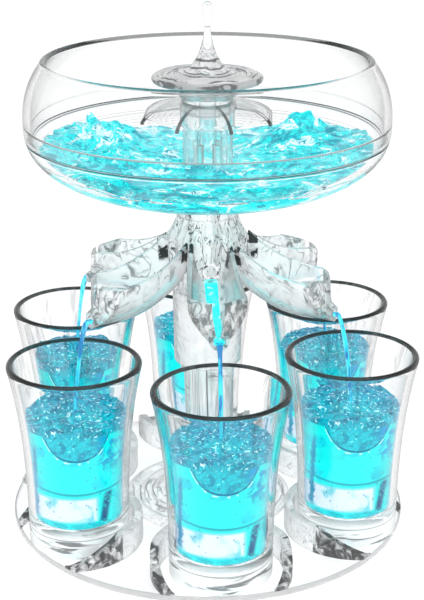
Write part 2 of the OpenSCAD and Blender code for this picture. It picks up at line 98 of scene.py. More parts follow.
column_r = highest("support_column").x
column_bore_r = column_r - 2.0
column_top = highest("support_column").z
web_t = 1.6

sleeve_end_z = lowest("spout_hub").z
hub_flat_r = highest("spout_hub").y
hub_top_z = highest("spout_hub").z
hub_collar_r = 11.6
hub_flats_top = 108.7
shoulder_z = 105.7
shoulder_r = 16.2
hub_neck_z = hub_top_z - 6
hub_neck_r = 11.0
flutes_top_z = hub_top_z - 5.8
flute_depth = 1.3
sleeve_r = 12.4
chamber_r = 8.6
chamber_z = 96.0
neck_r = 8.0
neck_end_z = lowest("bowl_lower").z

spout_tip = -lowest("spout_1").y
spout_end_w = highest("spout_1").x
spout_reach = 47.0
spout_wall = 1.5
spout_root_w = 7.5
spout_root_z = 92.2
spout_root_depth = 16.5
spout_fall = 9.6
spout_rim_fall = 10.5
spout_bow = 4.0
wall_x = spout_reach - 2 * spout_wall
lip_w = 3.6
lip_h = 6.2
port_r = 2.6
port_lip = 0.35

bowl_z = hub_top_z + 1.0
bowl_floor_z = bowl_z + 3.0
belly_z = bowl_z + 27.0
seam_z = lowest("bowl_upper").z
rim_z = highest("bowl_upper").z
bowl_r = highest("bowl_upper").x
bowl_rim_r = 57.0
bowl_wall = 2.5
bowl_square = 2.4
bowl_seat_r = 14.0
bowl_flat_r = 12.0
seam_top_z = seam_z + 5.0
drain_r = 5.5

tube_r = highest("valve_tube").x
tube_bore_r = tube_r - 1.6
tube_top_z = highest("valve_tube").z
window_w = 9.0
window_low_z = bowl_floor_z + 2.0
window_high_z = window_low_z + 20.0

guard_edge_z = lowest("splash_guard").z
guard_top_z = highest("splash_guard").z
guard_r = 22.8
guard_t = 1.2
guard_turn = math.radians(-7.5)
guard_panels = 8

collar_low_z = lowest("guide_collar").z
collar_top_z = highest("guide_collar").z
collar_r = highest("guide_collar").x

rod_low_z = lowest("stopper_rod").z
rod_top_z = highest("stopper_rod").z
rod_r = 2.9
fin_r = 6.6
fin_t = 1.4
stopper_r = highest("stopper_seal").x
stopper_low_z = lowest("stopper_seal").z
stopper_top_z = highest("stopper_seal").z

knob_r = highest("ripple_knob").x
knob_z = lowest("ripple_knob").z
knob_t = 2.8
cone_top_z = highest("ripple_knob").z
knob_neck_r = 2.9
knob_cone_r = 11.0
knob_ripples_end_r = 8.5
knob_ripples = 4
finial_top_z = highest("droplet_finial").z
drop_r = 1.7

bowl_drink_z = 135.0
cup_drink_z = 53.0
# Drink stays clear of a glass or the tube by the gap, and wets the bowl's wall by the overlap
drink_gap = 0.08
drink_overlap = 0.06
bubble_count = 150
bubble_sizes = 0.25, 0.7
stream_throw = 7.0


def station_centre(k):
    """Middle of a glass, in millimetres."""
    a = station_angle(k)
    return glass_ring_r * math.cos(a), glass_ring_r * math.sin(a)


def progress(x, start, end):
    """How far x has come from start to end, held between 0 and 1."""
    return min(1.0, max(0.0, (x - start) / (end - start)))


# ---- Shader maths ----

class Wire:
    """A shader socket that can be worked with as a number."""

    def __init__(self, finish, node, socket):
        self.finish = finish
        self.node = node
        self.socket = socket

    def of(self, name):
        """Another output of the same node."""
        return Wire(self.finish, self.node, self.node.outputs[name])

    def math(self, operation, first, second):
        return self.finish.add("Math", {"operation": operation}, {0: first, 1: second})

    def __add__(self, other):
        return self.math("ADD", self, other)

    def __radd__(self, other):
        return self.math("ADD", other, self)

    def __sub__(self, other):
        return self.math("SUBTRACT", self, other)

    def __rsub__(self, other):
        return self.math("SUBTRACT", other, self)

    def __mul__(self, other):
        return self.math("MULTIPLY", self, other)

    def __rmul__(self, other):
        return self.math("MULTIPLY", other, self)

    def __pow__(self, other):
        return self.math("POWER", self, other)

    def most(self, other):
        return self.math("MAXIMUM", self, other)

    def alone(self, operation):
        """Math on this wire alone, such as its cosine."""
        return self.finish.add("Math", {"operation": operation}, {0: self})

    def part(self, name):
        """One coordinate of a place."""
        return self.finish.add("SeparateXYZ", None, {0: self}).of(name)


class Finish:
    """A new material of that name, or the world, and the method that adds a node to it."""

    def __init__(self, owner, coordinates="Object"):
        self.owner = bpy.data.materials.new(owner) if isinstance(owner, str) else owner
        self.owner.use_nodes = True
        self.tree = self.owner.node_tree
        self.tree.nodes.clear()
        self.place = self.add("TexCoord").of(coordinates)

    def add(self, kind, settings=None, values=None, output=0):
        """Adds a node of that kind: first its settings, then the values or wires of its sockets."""
        node = self.tree.nodes.new("ShaderNode" + kind)
        for name, setting in (settings or {}).items():
            setattr(node, name, setting)
        for name, value in (values or {}).items():
            if isinstance(value, Wire):
                self.tree.links.new(value.socket, node.inputs[name])
            else:
                node.inputs[name].default_value = value
        return Wire(self, node, node.outputs[output] if node.outputs else None)

    def cloud(self, scale, detail=3.0, roughness=0.5, distortion=0.0, place=None):
        """Noise from 0 to 1, at a scale in lumps per metre, or per millimetre if the place is in_mm()."""
        return self.add("TexNoise", None, {
            "Vector": place or self.place, "Scale": scale, "Detail": detail,
            "Roughness": roughness, "Distortion": distortion})

    def between(self, wire, low, high):
        """0 where the wire is under low, 1 where it is over high, and a smooth step between them."""
        return self.add("MapRange", {"interpolation_type": "SMOOTHSTEP"}, {
            "Value": wire, "From Min": low, "From Max": high})

    def blend(self, share, first, second):
        """Mixes two colours, or two coloured wires, by a share from 0 to 1."""
        first, second = (c if isinstance(c, Wire) else (*c, 1) for c in (first, second))
        return self.add("Mix", {"data_type": "RGBA"}, {"Factor": share, 6: first, 7: second}, output=2)

    def near(self, wire, middle, half):
        """1 where the wire is at the middle value, falling to 0 at a distance of half on both sides."""
        return self.between((wire - middle).alone("ABSOLUTE"), half, 0.3 * half)

    def radius(self, place):
        """Distance from the column's axis."""
        across = self.add("VectorMath", {"operation": "MULTIPLY"}, {0: place, 1: (1, 1, 0)})
        return self.add("VectorMath", {"operation": "LENGTH"}, {0: across}, output=1)

    def in_mm(self, scale=(1, 1, 1), shift=(0, 0, 0)):
        """The place in millimetres, with each axis scaled and then shifted."""
        return self.add("Mapping", None, {
            "Vector": self.place, "Scale": [c / MM for c in scale], "Location": shift})

    def bumped(self, height, distance):
        """A normal from a height, whose full range is that many metres deep."""
        return self.add("Bump", None, {"Height": height, "Strength": 1.0, "Distance": distance})

    def edge(self, power, normal=None):
        """0 where the surface faces the eye and 1 where it turns away."""
        facing = self.add("LayerWeight", None, {"Blend": 0.5, **({"Normal": normal} if normal else {})})
        return facing.of("Facing") ** power

    def done(self, shader):
        self.add("OutputMaterial", None, {"Surface": shader})
        return self.owner


# ---- Finishes ----

def grey(value):
    return value, value, value


def ringed(f, place, low, high):
    """1 within a ring of radii and 0 outside it, with soft sides. Radii are in millimetres."""
    radius, soft = f.radius(place), 0.15
    return f.between(radius, low - soft, low + soft) * f.between(radius, high + soft, high - soft)


def clear_finish(name, ior, shade_colour, shade_power, shade_share, flow=60, flow_depth=0.0, white=0.0,
                 shade_marks=None, glow_marks=None):
    """Clear acrylic or glass with thin dark outlines of painted shade, as bright light from behind draws
    them.
    The shade's colour comes after ior, and the outlines are thinner with more power. flow is the scale of
    the waves in the surface, in lumps per metre, and white is how much of the piece looks white: painted
    light, a glow for the bright room seen through it. One function can add painted shade of the piece's
    own, and another places where it glows white."""
    f = Finish(name)
    place = f.in_mm()
    smudge = f.cloud(0.045, 4, 0.6, place=place)
    waves = f.cloud(flow * MM, 2, 0.45, 1.2, place=place)
    flowing = f.bumped(waves, flow_depth)
    clear = f.add("BsdfPrincipled", None, {
        "Base Color": f.blend(smudge, (0.998, 0.999, 1.0), (0.970, 0.976, 0.98)),
        "Roughness": f.between(smudge, 0.55, 0.9) * 0.03,
        "IOR": ior,
        "Transmission Weight": 1.0,
        "Normal": flowing})
    # Painted light: a grey-white that glows, for the bright room seen through the piece
    bright = f.add("BsdfPrincipled", None, {
        "Base Color": f.blend(waves, (0.93, 0.935, 0.94), (0.78, 0.79, 0.80)),
        "Roughness": 0.1 + smudge * 0.1,
        "Emission Color": f.blend(waves, grey(0.55), (0.42, 0.425, 0.43)),
        "Emission Strength": 1.0,
        "Normal": flowing})
    # Painted shade: the dark colour of the outlines and of the dark places
    dark = f.add("BsdfPrincipled", None, {
        "Base Color": f.blend(waves, shade_colour, tuple(1.8 * c for c in shade_colour)),
        "Roughness": 0.15 + smudge * 0.15,
        "Specular IOR Level": 0.25,
        "Normal": flowing})
    pale = glow_marks(f, place).most(white) if glow_marks else white
    # Painted shade where the surface turns away from the eye
    outline = f.edge(shade_power, flowing) * shade_share
    if shade_marks:
        outline = outline.most(shade_marks(f, place))
    lit = f.add("MixShader", None, {0: pale, 1: clear, 2: bright})
    return f.done(f.add("MixShader", None, {0: outline, 1: lit, 2: dark}))


def contours(f, scale, stretch, lines, low=0.80, high=0.97):
    """Thin winding lines of painted shade, like the lines of flow in thick moulded clear plastic."""
    field = f.cloud(scale, 3, 0.5, 1.2, place=f.in_mm(stretch))
    broken = f.cloud(scale * 2.5, 2, 0.5, place=f.in_mm(stretch, (31, 17, 5)))
    return f.between((field * lines).alone("COSINE"), low, high) * f.between(broken, 0.40, 0.52)


def glass_marks(f, place):
    """Painted shade: a band on the rounded rim, faint upright streaks in the wall, a line at the groove,
    and rings round the thick foot.
    """
    height = place.part("Z")
    grain = f.cloud(0.35, 3, 0.6, place=place)
    rim = f.between(height, glass_high.z - 1.05, glass_high.z - 0.8) * (0.80 + grain * 0.30)
    upright = f.cloud(0.20, 3, 0.6, 0.3, place=f.in_mm((1, 1, 0.02)))
    streaks = f.between(upright, 0.56, 0.66) * 0.22
    line = f.near(height, tray_t + glass_groove_h, 0.25) * 0.6
    arcs = f.cloud(0.045, 4, 0.55, 1.0, place=f.in_mm((1, 1, 9)))
    foot = f.between(height, glass_floor_z - 1.5, glass_floor_z - 3) * f.between(arcs, 0.54, 0.62) * 0.75
    above = streaks * f.between(height, cup_drink_z, cup_drink_z + 5)
    return rim.most(line).most(foot).most(above)


def glass_foot_glow(f, place):
    """Painted light: the thick foot looks white, glowing with the floor's light through it."""
    return f.between(place.part("Z"), glass_floor_z + 0.5, glass_floor_z - 1.5) * 0.62


def cuff_marks(f, place):
    """Painted shade: dark streaks in the cradle's arms, where they run out to the tray's edge."""
    flow = f.cloud(0.24, 4, 0.60, 0.8, place=f.in_mm((1, 1, 0.8)))
    outer = ringed(f, place, 58, 80)
    lines = contours(f, 0.12, (1, 1, 1), 50) * 0.45
    return lines.most(f.between(flow, 0.40, 0.56) * outer * 0.88)


def foot_marks(f, place):
    """Painted shade: rings between the ripples of the foot, broken up by flow lines."""
    wobble = f.cloud(0.10, 3, 0.5, 0.5, place=place)
    wave = ((f.radius(place) + wobble * 4.0) * (2 * math.pi / 2.6)).alone("COSINE")
    rings = f.between(wave, 0.70, 0.95) * f.between(wobble, 0.44, 0.54) * 0.7
    return rings.most(contours(f, 0.12, (1, 1, 1), 50) * 0.5)


def knob_marks(f, place):
    """Painted shade: rings between the ripples, a band round the rim, and fine lines that run down the
    cone.
    """
    wobble = f.cloud(0.12, 3, 0.5, 0.5, place=place)
    wave = ((f.radius(place) + wobble * 3.0) * (2 * math.pi / 1.9)).alone("COSINE")
    rings = f.between(wave, 0.50, 0.85) * f.between(wobble, 0.36, 0.48) * 0.85
    rim = ringed(f, place, knob_r - 0.9, knob_r + 1) * 0.35
    upright = f.cloud(0.5, 3, 0.6, place=f.in_mm((1, 1, 0.2)))
    cone = f.near(upright, 0.45, 0.03) * ringed(f, place, -1, 9) * 0.6
    return rings.most(rim).most(cone)


def hub_marks(f, place):
    """Painted shade: dark upright lines like flow lines, and blots, between the spouts and in the
    shoulder.
    """
    lines = contours(f, 0.16, (1, 1, 0.28), 62, 0.65, 0.95) * 0.9
    blots = f.between(f.cloud(0.20, 4, 0.6, 0.8, place=f.in_mm((1, 1, 0.35))), 0.56, 0.62) * 0.55
    return lines.most(blots) * f.between(place.part("Z"), spout_root_z - 12, spout_root_z + 2)


def column_marks(f, place):
    """Painted shade: upright and level lines, as the webs inside the tube show through it."""
    upright = f.cloud(0.22, 2, 0.5, place=f.in_mm((1, 1, 0.02)))
    level = f.cloud(0.20, 2, 0.5, place=f.in_mm((0.15, 0.15, 1)))
    crossing = f.near(level, 0.40, 0.014) * f.between(upright, 0.42, 0.5) * 0.6
    return (f.near(upright, 0.46, 0.02) * 0.7).most(crossing)


def tray_marks(f, place):
    """Painted shade: a dark line round the edge."""
    return ringed(f, place, tray_r - 0.7, tray_r + 1) * 0.5


def bowl_marks(f, place):
    """Painted shade: the lapped seam, the moulding lines over and under it, and the rim's inner edge."""
    height = place.part("Z")
    lines = f.near(height, seam_z - 0.1, 0.42) * 0.7
    for z, strength in ((seam_top_z, 0.12), (seam_z - 4.6, 0.34), (seam_z - 5.8, 0.20),
                        (seam_z - 7.4, 0.28), (seam_z - 9.4, 0.16), (seam_z - 11.0, 0.22)):
        lines = lines.most(f.near(height, z, 0.16) * strength)
    rim_r = bowl_outer(rim_z - bowl_wall / 2) - bowl_wall / 2
    rim = f.between(height, rim_z - 1.5, rim_z - 1.0) * ringed(f, place, 10, rim_r - 0.2) * 0.7
    return lines.most(rim)


def seam_highlight(f, place):
    """Painted highlight: the seam's step catches the light."""
    return f.near(place.part("Z"), seam_z - 0.8, 0.2) * 0.7


def guard_marks(f, place):
    """Painted shade: a thin dark line where two panels meet."""
    turn = f.add("Math", {"operation": "ARCTAN2"}, {0: place.part("Y"), 1: place.part("X")})
    wave = ((turn - guard_turn - math.pi / guard_panels) * guard_panels).alone("COSINE")
    return f.between(wave, 0.984, 0.996) * 0.8


def gutter_marks(f, place):
    """Painted shade: dark places where the gutters join the hub, streaks in the end walls, and fine flow
    lines.
    """
    high_up = f.between(place.part("Z"), 99.0, 101.0)
    patches = f.cloud(0.26, 3, 0.55, 0.6, place=place)
    root = ringed(f, place, 13.8, 18.2) * high_up * f.between(patches, 0.44, 0.50) * 0.95
    streaks = f.cloud(0.22, 4, 0.62, 1.5, place=f.in_mm((1, 1, 0.7)))
    end = ringed(f, place, spout_reach - 4.5, spout_tip + 1) * f.between(streaks, 0.48, 0.60) * 0.66
    lines = contours(f, 0.055, (1, 1, 1), 46) * 0.5
    return root.most(end).most(lines)


def silicone_finish():
    """Milky, slightly grainy silicone."""
    f = Finish("silicone")
    grain = f.cloud(900, 3)
    return f.done(f.add("BsdfPrincipled", None, {
        "Base Color": f.blend(grain, (0.86, 0.88, 0.90), (0.76, 0.79, 0.82)),
        "Roughness": 0.35 + grain * 0.15,
        "Transmission Weight": 0.4,
        "Normal": f.bumped(grain, 0.00005)}))


class Paint:
    """Colours laid over a clear drink, one over the other, and how much of the drink they hide. The
    colours glow: painted light.
    """

    def __init__(self, f, colour, cover):
        self.f = f
        self.colour = colour
        self.cover = cover

    def lay(self, mask, colour, cover):
        self.colour = self.f.blend(mask, self.colour, colour)
        self.cover = (mask * cover).most(self.cover)

    def shader(self, waves, wave_depth, tint, density):
        """Mixes the paint, which glows as painted light, with clear drink that is coloured by how far the
        light runs in it.
        """
        f = self.f
        normal = f.bumped(waves, wave_depth)
        clear = f.add("BsdfPrincipled", None, {
            "Base Color": f.blend(waves, grey(1.0), (0.90, 0.97, 1.0)),
            "Roughness": waves * 0.03,
            "IOR": 1.33,
            "Transmission Weight": 1.0,
            "Normal": normal})
        painted = f.add("BsdfPrincipled", None, {
            "Base Color": self.colour,
            "Roughness": 0.12 + waves * 0.1,
            "IOR": 1.33,
            "Specular IOR Level": 0.2,
            # Painted light: the paint glows in its own colour
            "Emission Color": self.colour,
            "Emission Strength": 0.75,
            "Normal": normal})
        f.add("OutputMaterial", None, {
            "Surface": f.add("MixShader", None, {0: self.cover, 1: clear, 2: painted}),
            "Volume": f.add("VolumeAbsorption", None, {"Color": (*tint, 1), "Density": density})})
        return f.owner


def cup_drink_finish(k):
    """Bright blue drink in a glass: froth at the top, a plume of bubbles under it, and clear below.
    x, y and z are millimetres from the glass's middle and the floor."""
    f = Finish(f"drink_{k}")
    cx, cy = station_centre(k)
    place = f.in_mm(shift=(-cx, -cy, 0))
    x, z = place.part("X"), place.part("Z")
    swirl = f.cloud(0.20, 5, 0.62, 1.4, place=place)
    fine = f.cloud(0.75, 4, 0.65, 0.8, place=place)
    broad = f.cloud(0.09, 3, 0.5, 1.0, place=place)
    level = cup_drink_z
    paint = Paint(f, (0.006, 0.94, 0.88), 0.55)
    paint.lay(f.between(broad, 0.52, 0.66), (0.003, 0.66, 0.80), 0.55)
    paint.lay(f.between(z, 17.5, 15.5) * f.between(swirl, 0.42, 0.58), (0.0, 0.45, 0.50), 0.8)
    # Painted light: the bright floor, which shows through low down
    low = f.between(z, 16.6, 17.8) * f.between(z, 27.2, 25.6) * f.between(x, 7.5, 5.5)
    paint.lay(low * f.between(broad, 0.80, 0.50), (0.80, 0.83, 0.94), 0.85)
    paint.lay(f.near(z - x * x * 0.006, 28.2, 0.6), (0.0, 0.30, 0.38), 0.85)
    # Painted shade: dark streaks down the drink on two sides
    streak = f.near(x - (z - 22) * 0.16, 9.2, 1.9) * f.between(z, 15.4, 17.0) * f.between(z, 28.6, 27.2)
    paint.lay(streak * f.between(fine, 0.36, 0.48), (0.0, 0.055, 0.18), 0.95)
    side = f.near(x + swirl * 2.0, -12.6, 0.9) * f.between(z, 16, 19) * f.between(z, 47, 43)
    paint.lay(side, (0.0, 0.22, 0.42), 0.8)
    # The plume under the surface, with a painted highlight along its lower side
    under = z - x * x * 0.03 - x * x * x * x * 0.0004
    plume = f.between(under, level - 11.6, level - 10.6) * f.between(z, level + 1, level - 1)
    paint.lay(plume, (0.006, 0.52, 0.66), 0.65)
    paint.lay(plume * f.between(swirl, 0.50, 0.60), (0.004, 0.22, 0.38), 0.8)
    paint.lay(plume * f.near(fine, 0.50, 0.03), (0.0, 0.12, 0.28), 0.7)
    paint.lay(plume * f.between(fine, 0.64, 0.70), (0.45, 0.95, 0.97), 0.8)
    lobe = (f.between(x, 5.0, 9.0) * f.between(z, level - 19, level - 13)
            * f.between(z, level + 1, level - 2))
    paint.lay(lobe * f.between(swirl, 0.42, 0.60), (0.01, 0.24, 0.55), 0.75)
    arc_line = f.near(under, level - 11.4, 0.6)
    paint.lay(arc_line * f.between(fine, 0.36, 0.46), (0.0, 0.06, 0.22), 0.95)
    # Painted highlight along the plume's lower side
    paint.lay(f.near(under, level - 12.4, 0.45) * f.between(swirl, 0.50, 0.56), (0.75, 0.98, 0.98), 0.9)
    # Froth along the surface, its white flecks partly froth and partly painted highlights
    top = f.between(z, level - 2.8, level - 2.2)
    paint.lay(top, (0.006, 0.46, 0.60), 0.7)
    paint.lay(top * f.between(swirl, 0.46, 0.58), (0.004, 0.19, 0.33), 0.85)
    paint.lay(top * f.between(fine, 0.585, 0.63), (0.75, 0.98, 0.99), 0.9)
    paint.lay(top * f.near(fine, 0.46, 0.025), (0.0, 0.05, 0.14), 0.9)
    specks = f.add("TexVoronoi", None, {"Vector": place, "Scale": 0.42}).of("Distance")
    paint.lay(f.near(specks, 0.11, 0.05) * f.between(swirl, 0.42, 0.50), (0.0, 0.10, 0.20), 0.8)
    # Painted shade where the drink's surface turns away from the eye
    paint.lay(f.edge(3.5), (0.0, 0.14, 0.38), 0.9)
    return paint.shader(swirl, 0.0004, (0.0, 0.97, 0.965), 130.0)


def bowl_drink_finish():
    """The same drink in the bowl: pale gaps, dark ripples near the top and fine lines below."""
    f = Finish("drink_in_bowl")
    place = f.in_mm()
    z = place.part("Z")
    swirl = f.cloud(0.085, 5, 0.6, 1.6, place=place)
    fine = f.cloud(0.30, 4, 0.6, 1.0, place=place)
    lines = f.cloud(0.10, 4, 0.6, 2.2, place=f.in_mm((1, 1, 3.5)))
    level = bowl_drink_z
    paint = Paint(f, (0.004, 0.93, 0.90), 0.66)
    paint.lay(f.between(lines, 0.50, 0.62), (0.003, 0.60, 0.66), 0.75)
    paint.lay(f.between(swirl, 0.555, 0.61), (0.86, 0.985, 0.99), 0.9)
    ripples = f.between(swirl, 0.445, 0.40) * f.between(z, level + 9, level + 5)
    paint.lay(ripples, (0.003, 0.24, 0.34), 0.85)
    paint.lay(f.near(fine, 0.44, 0.016) * f.between(swirl, 0.50, 0.44), (0.0, 0.12, 0.20), 0.85)
    paint.lay(f.near(lines, 0.42, 0.012), (0.0, 0.22, 0.30), 0.7)
    top = f.between(z, level - 0.8, level + 0.2)
    paint.lay(top * f.between(fine, 0.53, 0.61), (0.002, 0.28, 0.38), 0.85)
    paint.lay(top * f.near(fine, 0.50, 0.015), (0.0, 0.16, 0.24), 0.8)
    paint.lay(top * f.between(fine, 0.38, 0.32), (0.80, 0.98, 0.99), 0.9)
    # Painted shade where the drink's surface turns away from the eye
    paint.lay(f.edge(5.0), (0.0, 0.42, 0.52), 0.6)
    return paint.shader(swirl, 0.0008, (0.0, 0.985, 0.985), 60.0)


def stream_finish():
    """Drink that falls from a lip, with painted shade at its sides."""
    f = Finish("falling_drink")
    ripple = f.cloud(0.5, 3, 0.5, place=f.in_mm((1, 1, 0.25)))
    paint = Paint(f, (0.03, 0.72, 0.86), 0.55)
    paint.lay(f.between(ripple, 0.50, 0.60), (0.02, 0.16, 0.42), 0.8)
    # Painted shade at the stream's sides
    paint.lay(f.edge(2.5), (0.01, 0.10, 0.32), 0.85)
    return paint.shader(ripple, 0.0003, (0.04, 0.965, 0.955), 120.0)


def channel_finish():
    """Drink that runs along a spout."""
    f = Finish("drink_in_spouts")
    ripple = f.cloud(0.35, 3, 0.5, 1.0, place=f.in_mm())
    paint = Paint(f, (0.02, 0.86, 0.86), 0.65)
    paint.lay(f.between(ripple, 0.58, 0.66), (0.60, 0.97, 0.98), 0.8)
    # Painted shade at the ribbon's sides, where it turns away from the eye
    paint.lay(f.edge(4.0), (0.0, 0.42, 0.50), 0.8)
    return paint.shader(ripple, 0.0005, (0.04, 0.965, 0.955), 200.0)


def bubble_finish():
    """Clear bubbles with rims of painted shade, where they turn away from the eye."""
    f = Finish("bubbles")
    film = f.cloud(2000, 2)
    clear = f.add("BsdfPrincipled", None, {
        "Base Color": f.blend(film, (0.85, 0.99, 1.0), (0.60, 0.93, 0.98)),
        "Roughness": 0.02 + film * 0.03,
        "IOR": 1.15,
        "Transmission Weight": 1.0})
    # Painted shade for the rims
    ring = f.add("BsdfPrincipled", None, {
        "Base Color": f.blend(film, (0.0, 0.12, 0.22), (0.0, 0.22, 0.34)),
        "Roughness": 0.1 + film * 0.1})
    return f.done(f.add("MixShader", None, {0: f.edge(2.5) * 0.8, 1: clear, 2: ring}))


# ---- Making pieces ----

def turned(bm, outline, centre=(0.0, 0.0), steps=AROUND, sheet=False):
    """Spins an outline of (radius, height) points round an upright axis. A sheet stays open, and
    so does an outline from the axis to the axis. Any other is closed."""
    corners = [bm.verts.new((centre[0] + r, centre[1], z)) for r, z in outline]
    pairs = list(zip(corners, corners[1:]))
    if not sheet and (outline[0][0] or outline[-1][0]):
        pairs.append((corners[-1], corners[0]))
    edges = [bm.edges.new(pair) for pair in pairs]
    bmesh.ops.spin(bm, geom=corners + edges, cent=(*centre, 0), axis=(0, 0, 1), dvec=(0, 0, 0),
                   angle=2 * math.pi, steps=steps, use_merge=True, use_duplicate=False)
    bmesh.ops.remove_doubles(bm, verts=bm.verts, dist=0.0005)


def softened(outline, radius, steps=3):
    """The outline with its sharp corners rounded. Corners on the axis stay."""
    made = []
    count = len(outline)
    for i, corner in enumerate(outline):
        here = Vector(corner)
        back = Vector(outline[i - 1]) - here
        on = Vector(outline[(i + 1) % count]) - here
        same = min(back.length, on.length) < 1e-6
        if corner[0] == 0 or same or back.angle(-on) < math.radians(25):
            made.append(tuple(corner))
            continue
        start = here + back.normalized() * min(radius, 0.45 * back.length)
        end = here + on.normalized() * min(radius, 0.45 * on.length)
        for j in range(steps + 1):
            t = j / steps
            made.append(tuple(start * (1 - t) ** 2 + here * 2 * t * (1 - t) + end * t * t))
    return made


def arc(x, z, radius, start, end, steps=8):
    """Points of an arc about (x, z), from one angle to another in degrees."""
    turns = [math.radians(start + (end - start) * i / steps) for i in range(steps + 1)]
    return [(x + radius * math.cos(a), z + radius * math.sin(a)) for a in turns]


def steps_between(low, high, count):
    return [low + (high - low) * i / count for i in range(count + 1)]


def block(bm, low, high, bevel=0.2):
    """A box with bevelled edges."""
    made = bmesh.ops.create_cube(bm, size=1)["verts"]
    size = Vector(high) - Vector(low)
    bmesh.ops.scale(bm, vec=size, verts=made)
    bmesh.ops.translate(bm, vec=(Vector(high) + Vector(low)) / 2, verts=made)
    edges = list({e for v in made for e in v.link_edges})
    bmesh.ops.bevel(bm, geom=edges, offset=bevel, affect="EDGES", segments=2, profile=0.5, material=-1)


def thing(name, bm, finish):
    """Makes an object of a mesh, with its finish."""
    mesh = bpy.data.meshes.new(name)
    bm.to_mesh(mesh)
    bm.free()
    mesh.materials.append(finish)
    made = bpy.data.objects.new(name, mesh)
    bpy.context.scene.collection.objects.link(made)
    return made


def piece(name, bm, finish, nodes=(), body="stand", sharp=40):
    """Makes a piece of a mesh drawn in millimetres: its finish, the nodes of the frame that it
    replaces, the body that it rides on, and the angle past which an edge is sharp."""
    bmesh.ops.recalc_face_normals(bm, faces=bm.faces)
    bmesh.ops.scale(bm, vec=(MM, MM, MM), verts=bm.verts)
    made = thing(name, bm, finish)
    made.data.shade_smooth()
    made.data.set_sharp_from_angle(angle=math.radians(sharp))
    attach(made, body)
    if nodes:
        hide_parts(*nodes)


def swung(bm, angle):
    """Turns what was drawn round the column's axis."""
    bmesh.ops.rotate(bm, cent=(0, 0, 0), matrix=Matrix.Rotation(angle, 3, "Z"), verts=bm.verts)


def edges_round(bm, ring):
    """The edges from corner to corner of a closed ring."""
    return [bm.edges.get(pair) for pair in zip(ring, ring[1:] + ring[:1])]


def lofted(bm, rings):
    """Extrudes a closed ring through a row of rings, each given as the places of its corners,
    and caps both ends."""
    ring = [bm.verts.new(place) for place in rings[0]]
    for pair in zip(ring, ring[1:] + ring[:1]):
        bm.edges.new(pair)
    bmesh.ops.contextual_create(bm, geom=edges_round(bm, ring))
    for places in rings[1:]:
        grown = set(bmesh.ops.extrude_edge_only(bm, edges=edges_round(bm, ring))["geom"])
        ring = [next(e.other_vert(v) for e in v.link_edges if e.other_vert(v) in grown) for v in ring]
        for corner, place in zip(ring, places):
            corner.co = place
    bmesh.ops.contextual_create(bm, geom=edges_round(bm, ring))


# ---- Tray, cradles, foot and column ----

def make_tray():
    bm = bmesh.new()
    turned(bm, softened([
        (peg_r + glue_gap, 0), (tray_r - tray_bevel, 0), (tray_r, tray_bevel),
        (tray_r, tray_t), (peg_r + glue_gap, tray_t)], 0.35))
    piece("tray", bm, plate, ["base_tray"])


def make_cradle(k):
    """A cuff whose top falls away to its two ends, which the tray's edge cuts off."""
    bm = bmesh.new()
    turned(bm, softened([
        (cradle_bore_r, 0), (cradle_r, 0), (cradle_r, cradle_h), (cradle_bore_r, cradle_h)], 0.7, 4))
    end_x = (tray_r ** 2 - cradle_ring_r ** 2 - cradle_r ** 2) / (2 * cradle_ring_r)
    high_x = -0.2 * cradle_r
    for v in bm.verts:
        fall = progress(v.co.x, high_x, end_x)
        v.co.z *= 1 + (cradle_end_h / cradle_h - 1) * fall
    bmesh.ops.translate(bm, vec=(cradle_ring_r, 0, tray_t), verts=bm.verts)
    end_y = math.sqrt(cradle_r ** 2 - end_x ** 2)
    for side in (-1, 1):
        out = Vector((cradle_ring_r + end_x, side * end_y, 0)).normalized()
        cut = bmesh.ops.bisect_plane(
            bm, geom=bm.verts[:] + bm.edges[:] + bm.faces[:], dist=0.0001,
            plane_co=out * (tray_r - 0.15), plane_no=out, clear_outer=True)["geom_cut"]
        bmesh.ops.holes_fill(bm, edges=[e for e in cut if isinstance(e, bmesh.types.BMEdge)], sides=0)
    swung(bm, station_angle(k))
    piece(f"cradle_{k}", bm, cuff, [f"cup_cradle_{k}"])


def foot_top(r):
    """Height of the foot above the tray: a flare with ripples that fade at the column."""
    t = (foot_r - r) / (foot_r - column_r)
    flare = foot_edge_t + (foot_h - foot_edge_t) * t ** 2.2
    return flare + 0.5 * (1 - t) * (1 - math.cos(2 * math.pi * foot_ripples * t))


def make_foot():
    bore_r = column_r + glue_gap
    top = [(r, tray_t + foot_top(max(r, column_r)))
           for r in steps_between(foot_r, bore_r, 18 * foot_ripples)]
    bm = bmesh.new()
    turned(bm, softened([(bore_r, tray_t), (foot_r, tray_t)] + top, 0.5))
    piece("foot", bm, ripple_plate, ["ripple_foot"])


def make_column():
    bm = bmesh.new()
    web_low, web_high = tray_t + 2.0, column_top - 4
    turned(bm, softened([
        (0, 0.4), (peg_r, 0.4), (peg_r, tray_t), (column_r, tray_t), (column_r, column_top),
        (column_bore_r, column_top), (column_bore_r, web_low), (0, web_low)], 0.25))
    # A cross of two webs stands inside the tube
    arm, half = column_bore_r - 0.05, web_t / 2
    cross = [(arm, -half), (arm, half), (half, half), (half, arm), (-half, arm), (-half, half),
             (-arm, half), (-arm, -half), (-half, -half), (-half, -arm), (half, -arm), (half, -half)]
    foot = bm.faces.new([bm.verts.new((x, y, web_low)) for x, y in cross])
    grown = bmesh.ops.extrude_face_region(bm, geom=[foot])["geom"]
    bmesh.ops.translate(bm, vec=(0, 0, web_high - web_low),
                        verts=[v for v in grown if isinstance(v, bmesh.types.BMVert)])
    piece("column", bm, tube_wall, ["support_column"])


# ---- Hub and spouts ----

def hub_envelope(z):
    """Radius of the hub's corners: round, then drawn in to the collar."""
    left = 1 - progress(z, shoulder_z, hub_neck_z)
    return hub_neck_r + (shoulder_r - hub_neck_r) * left ** 1.6


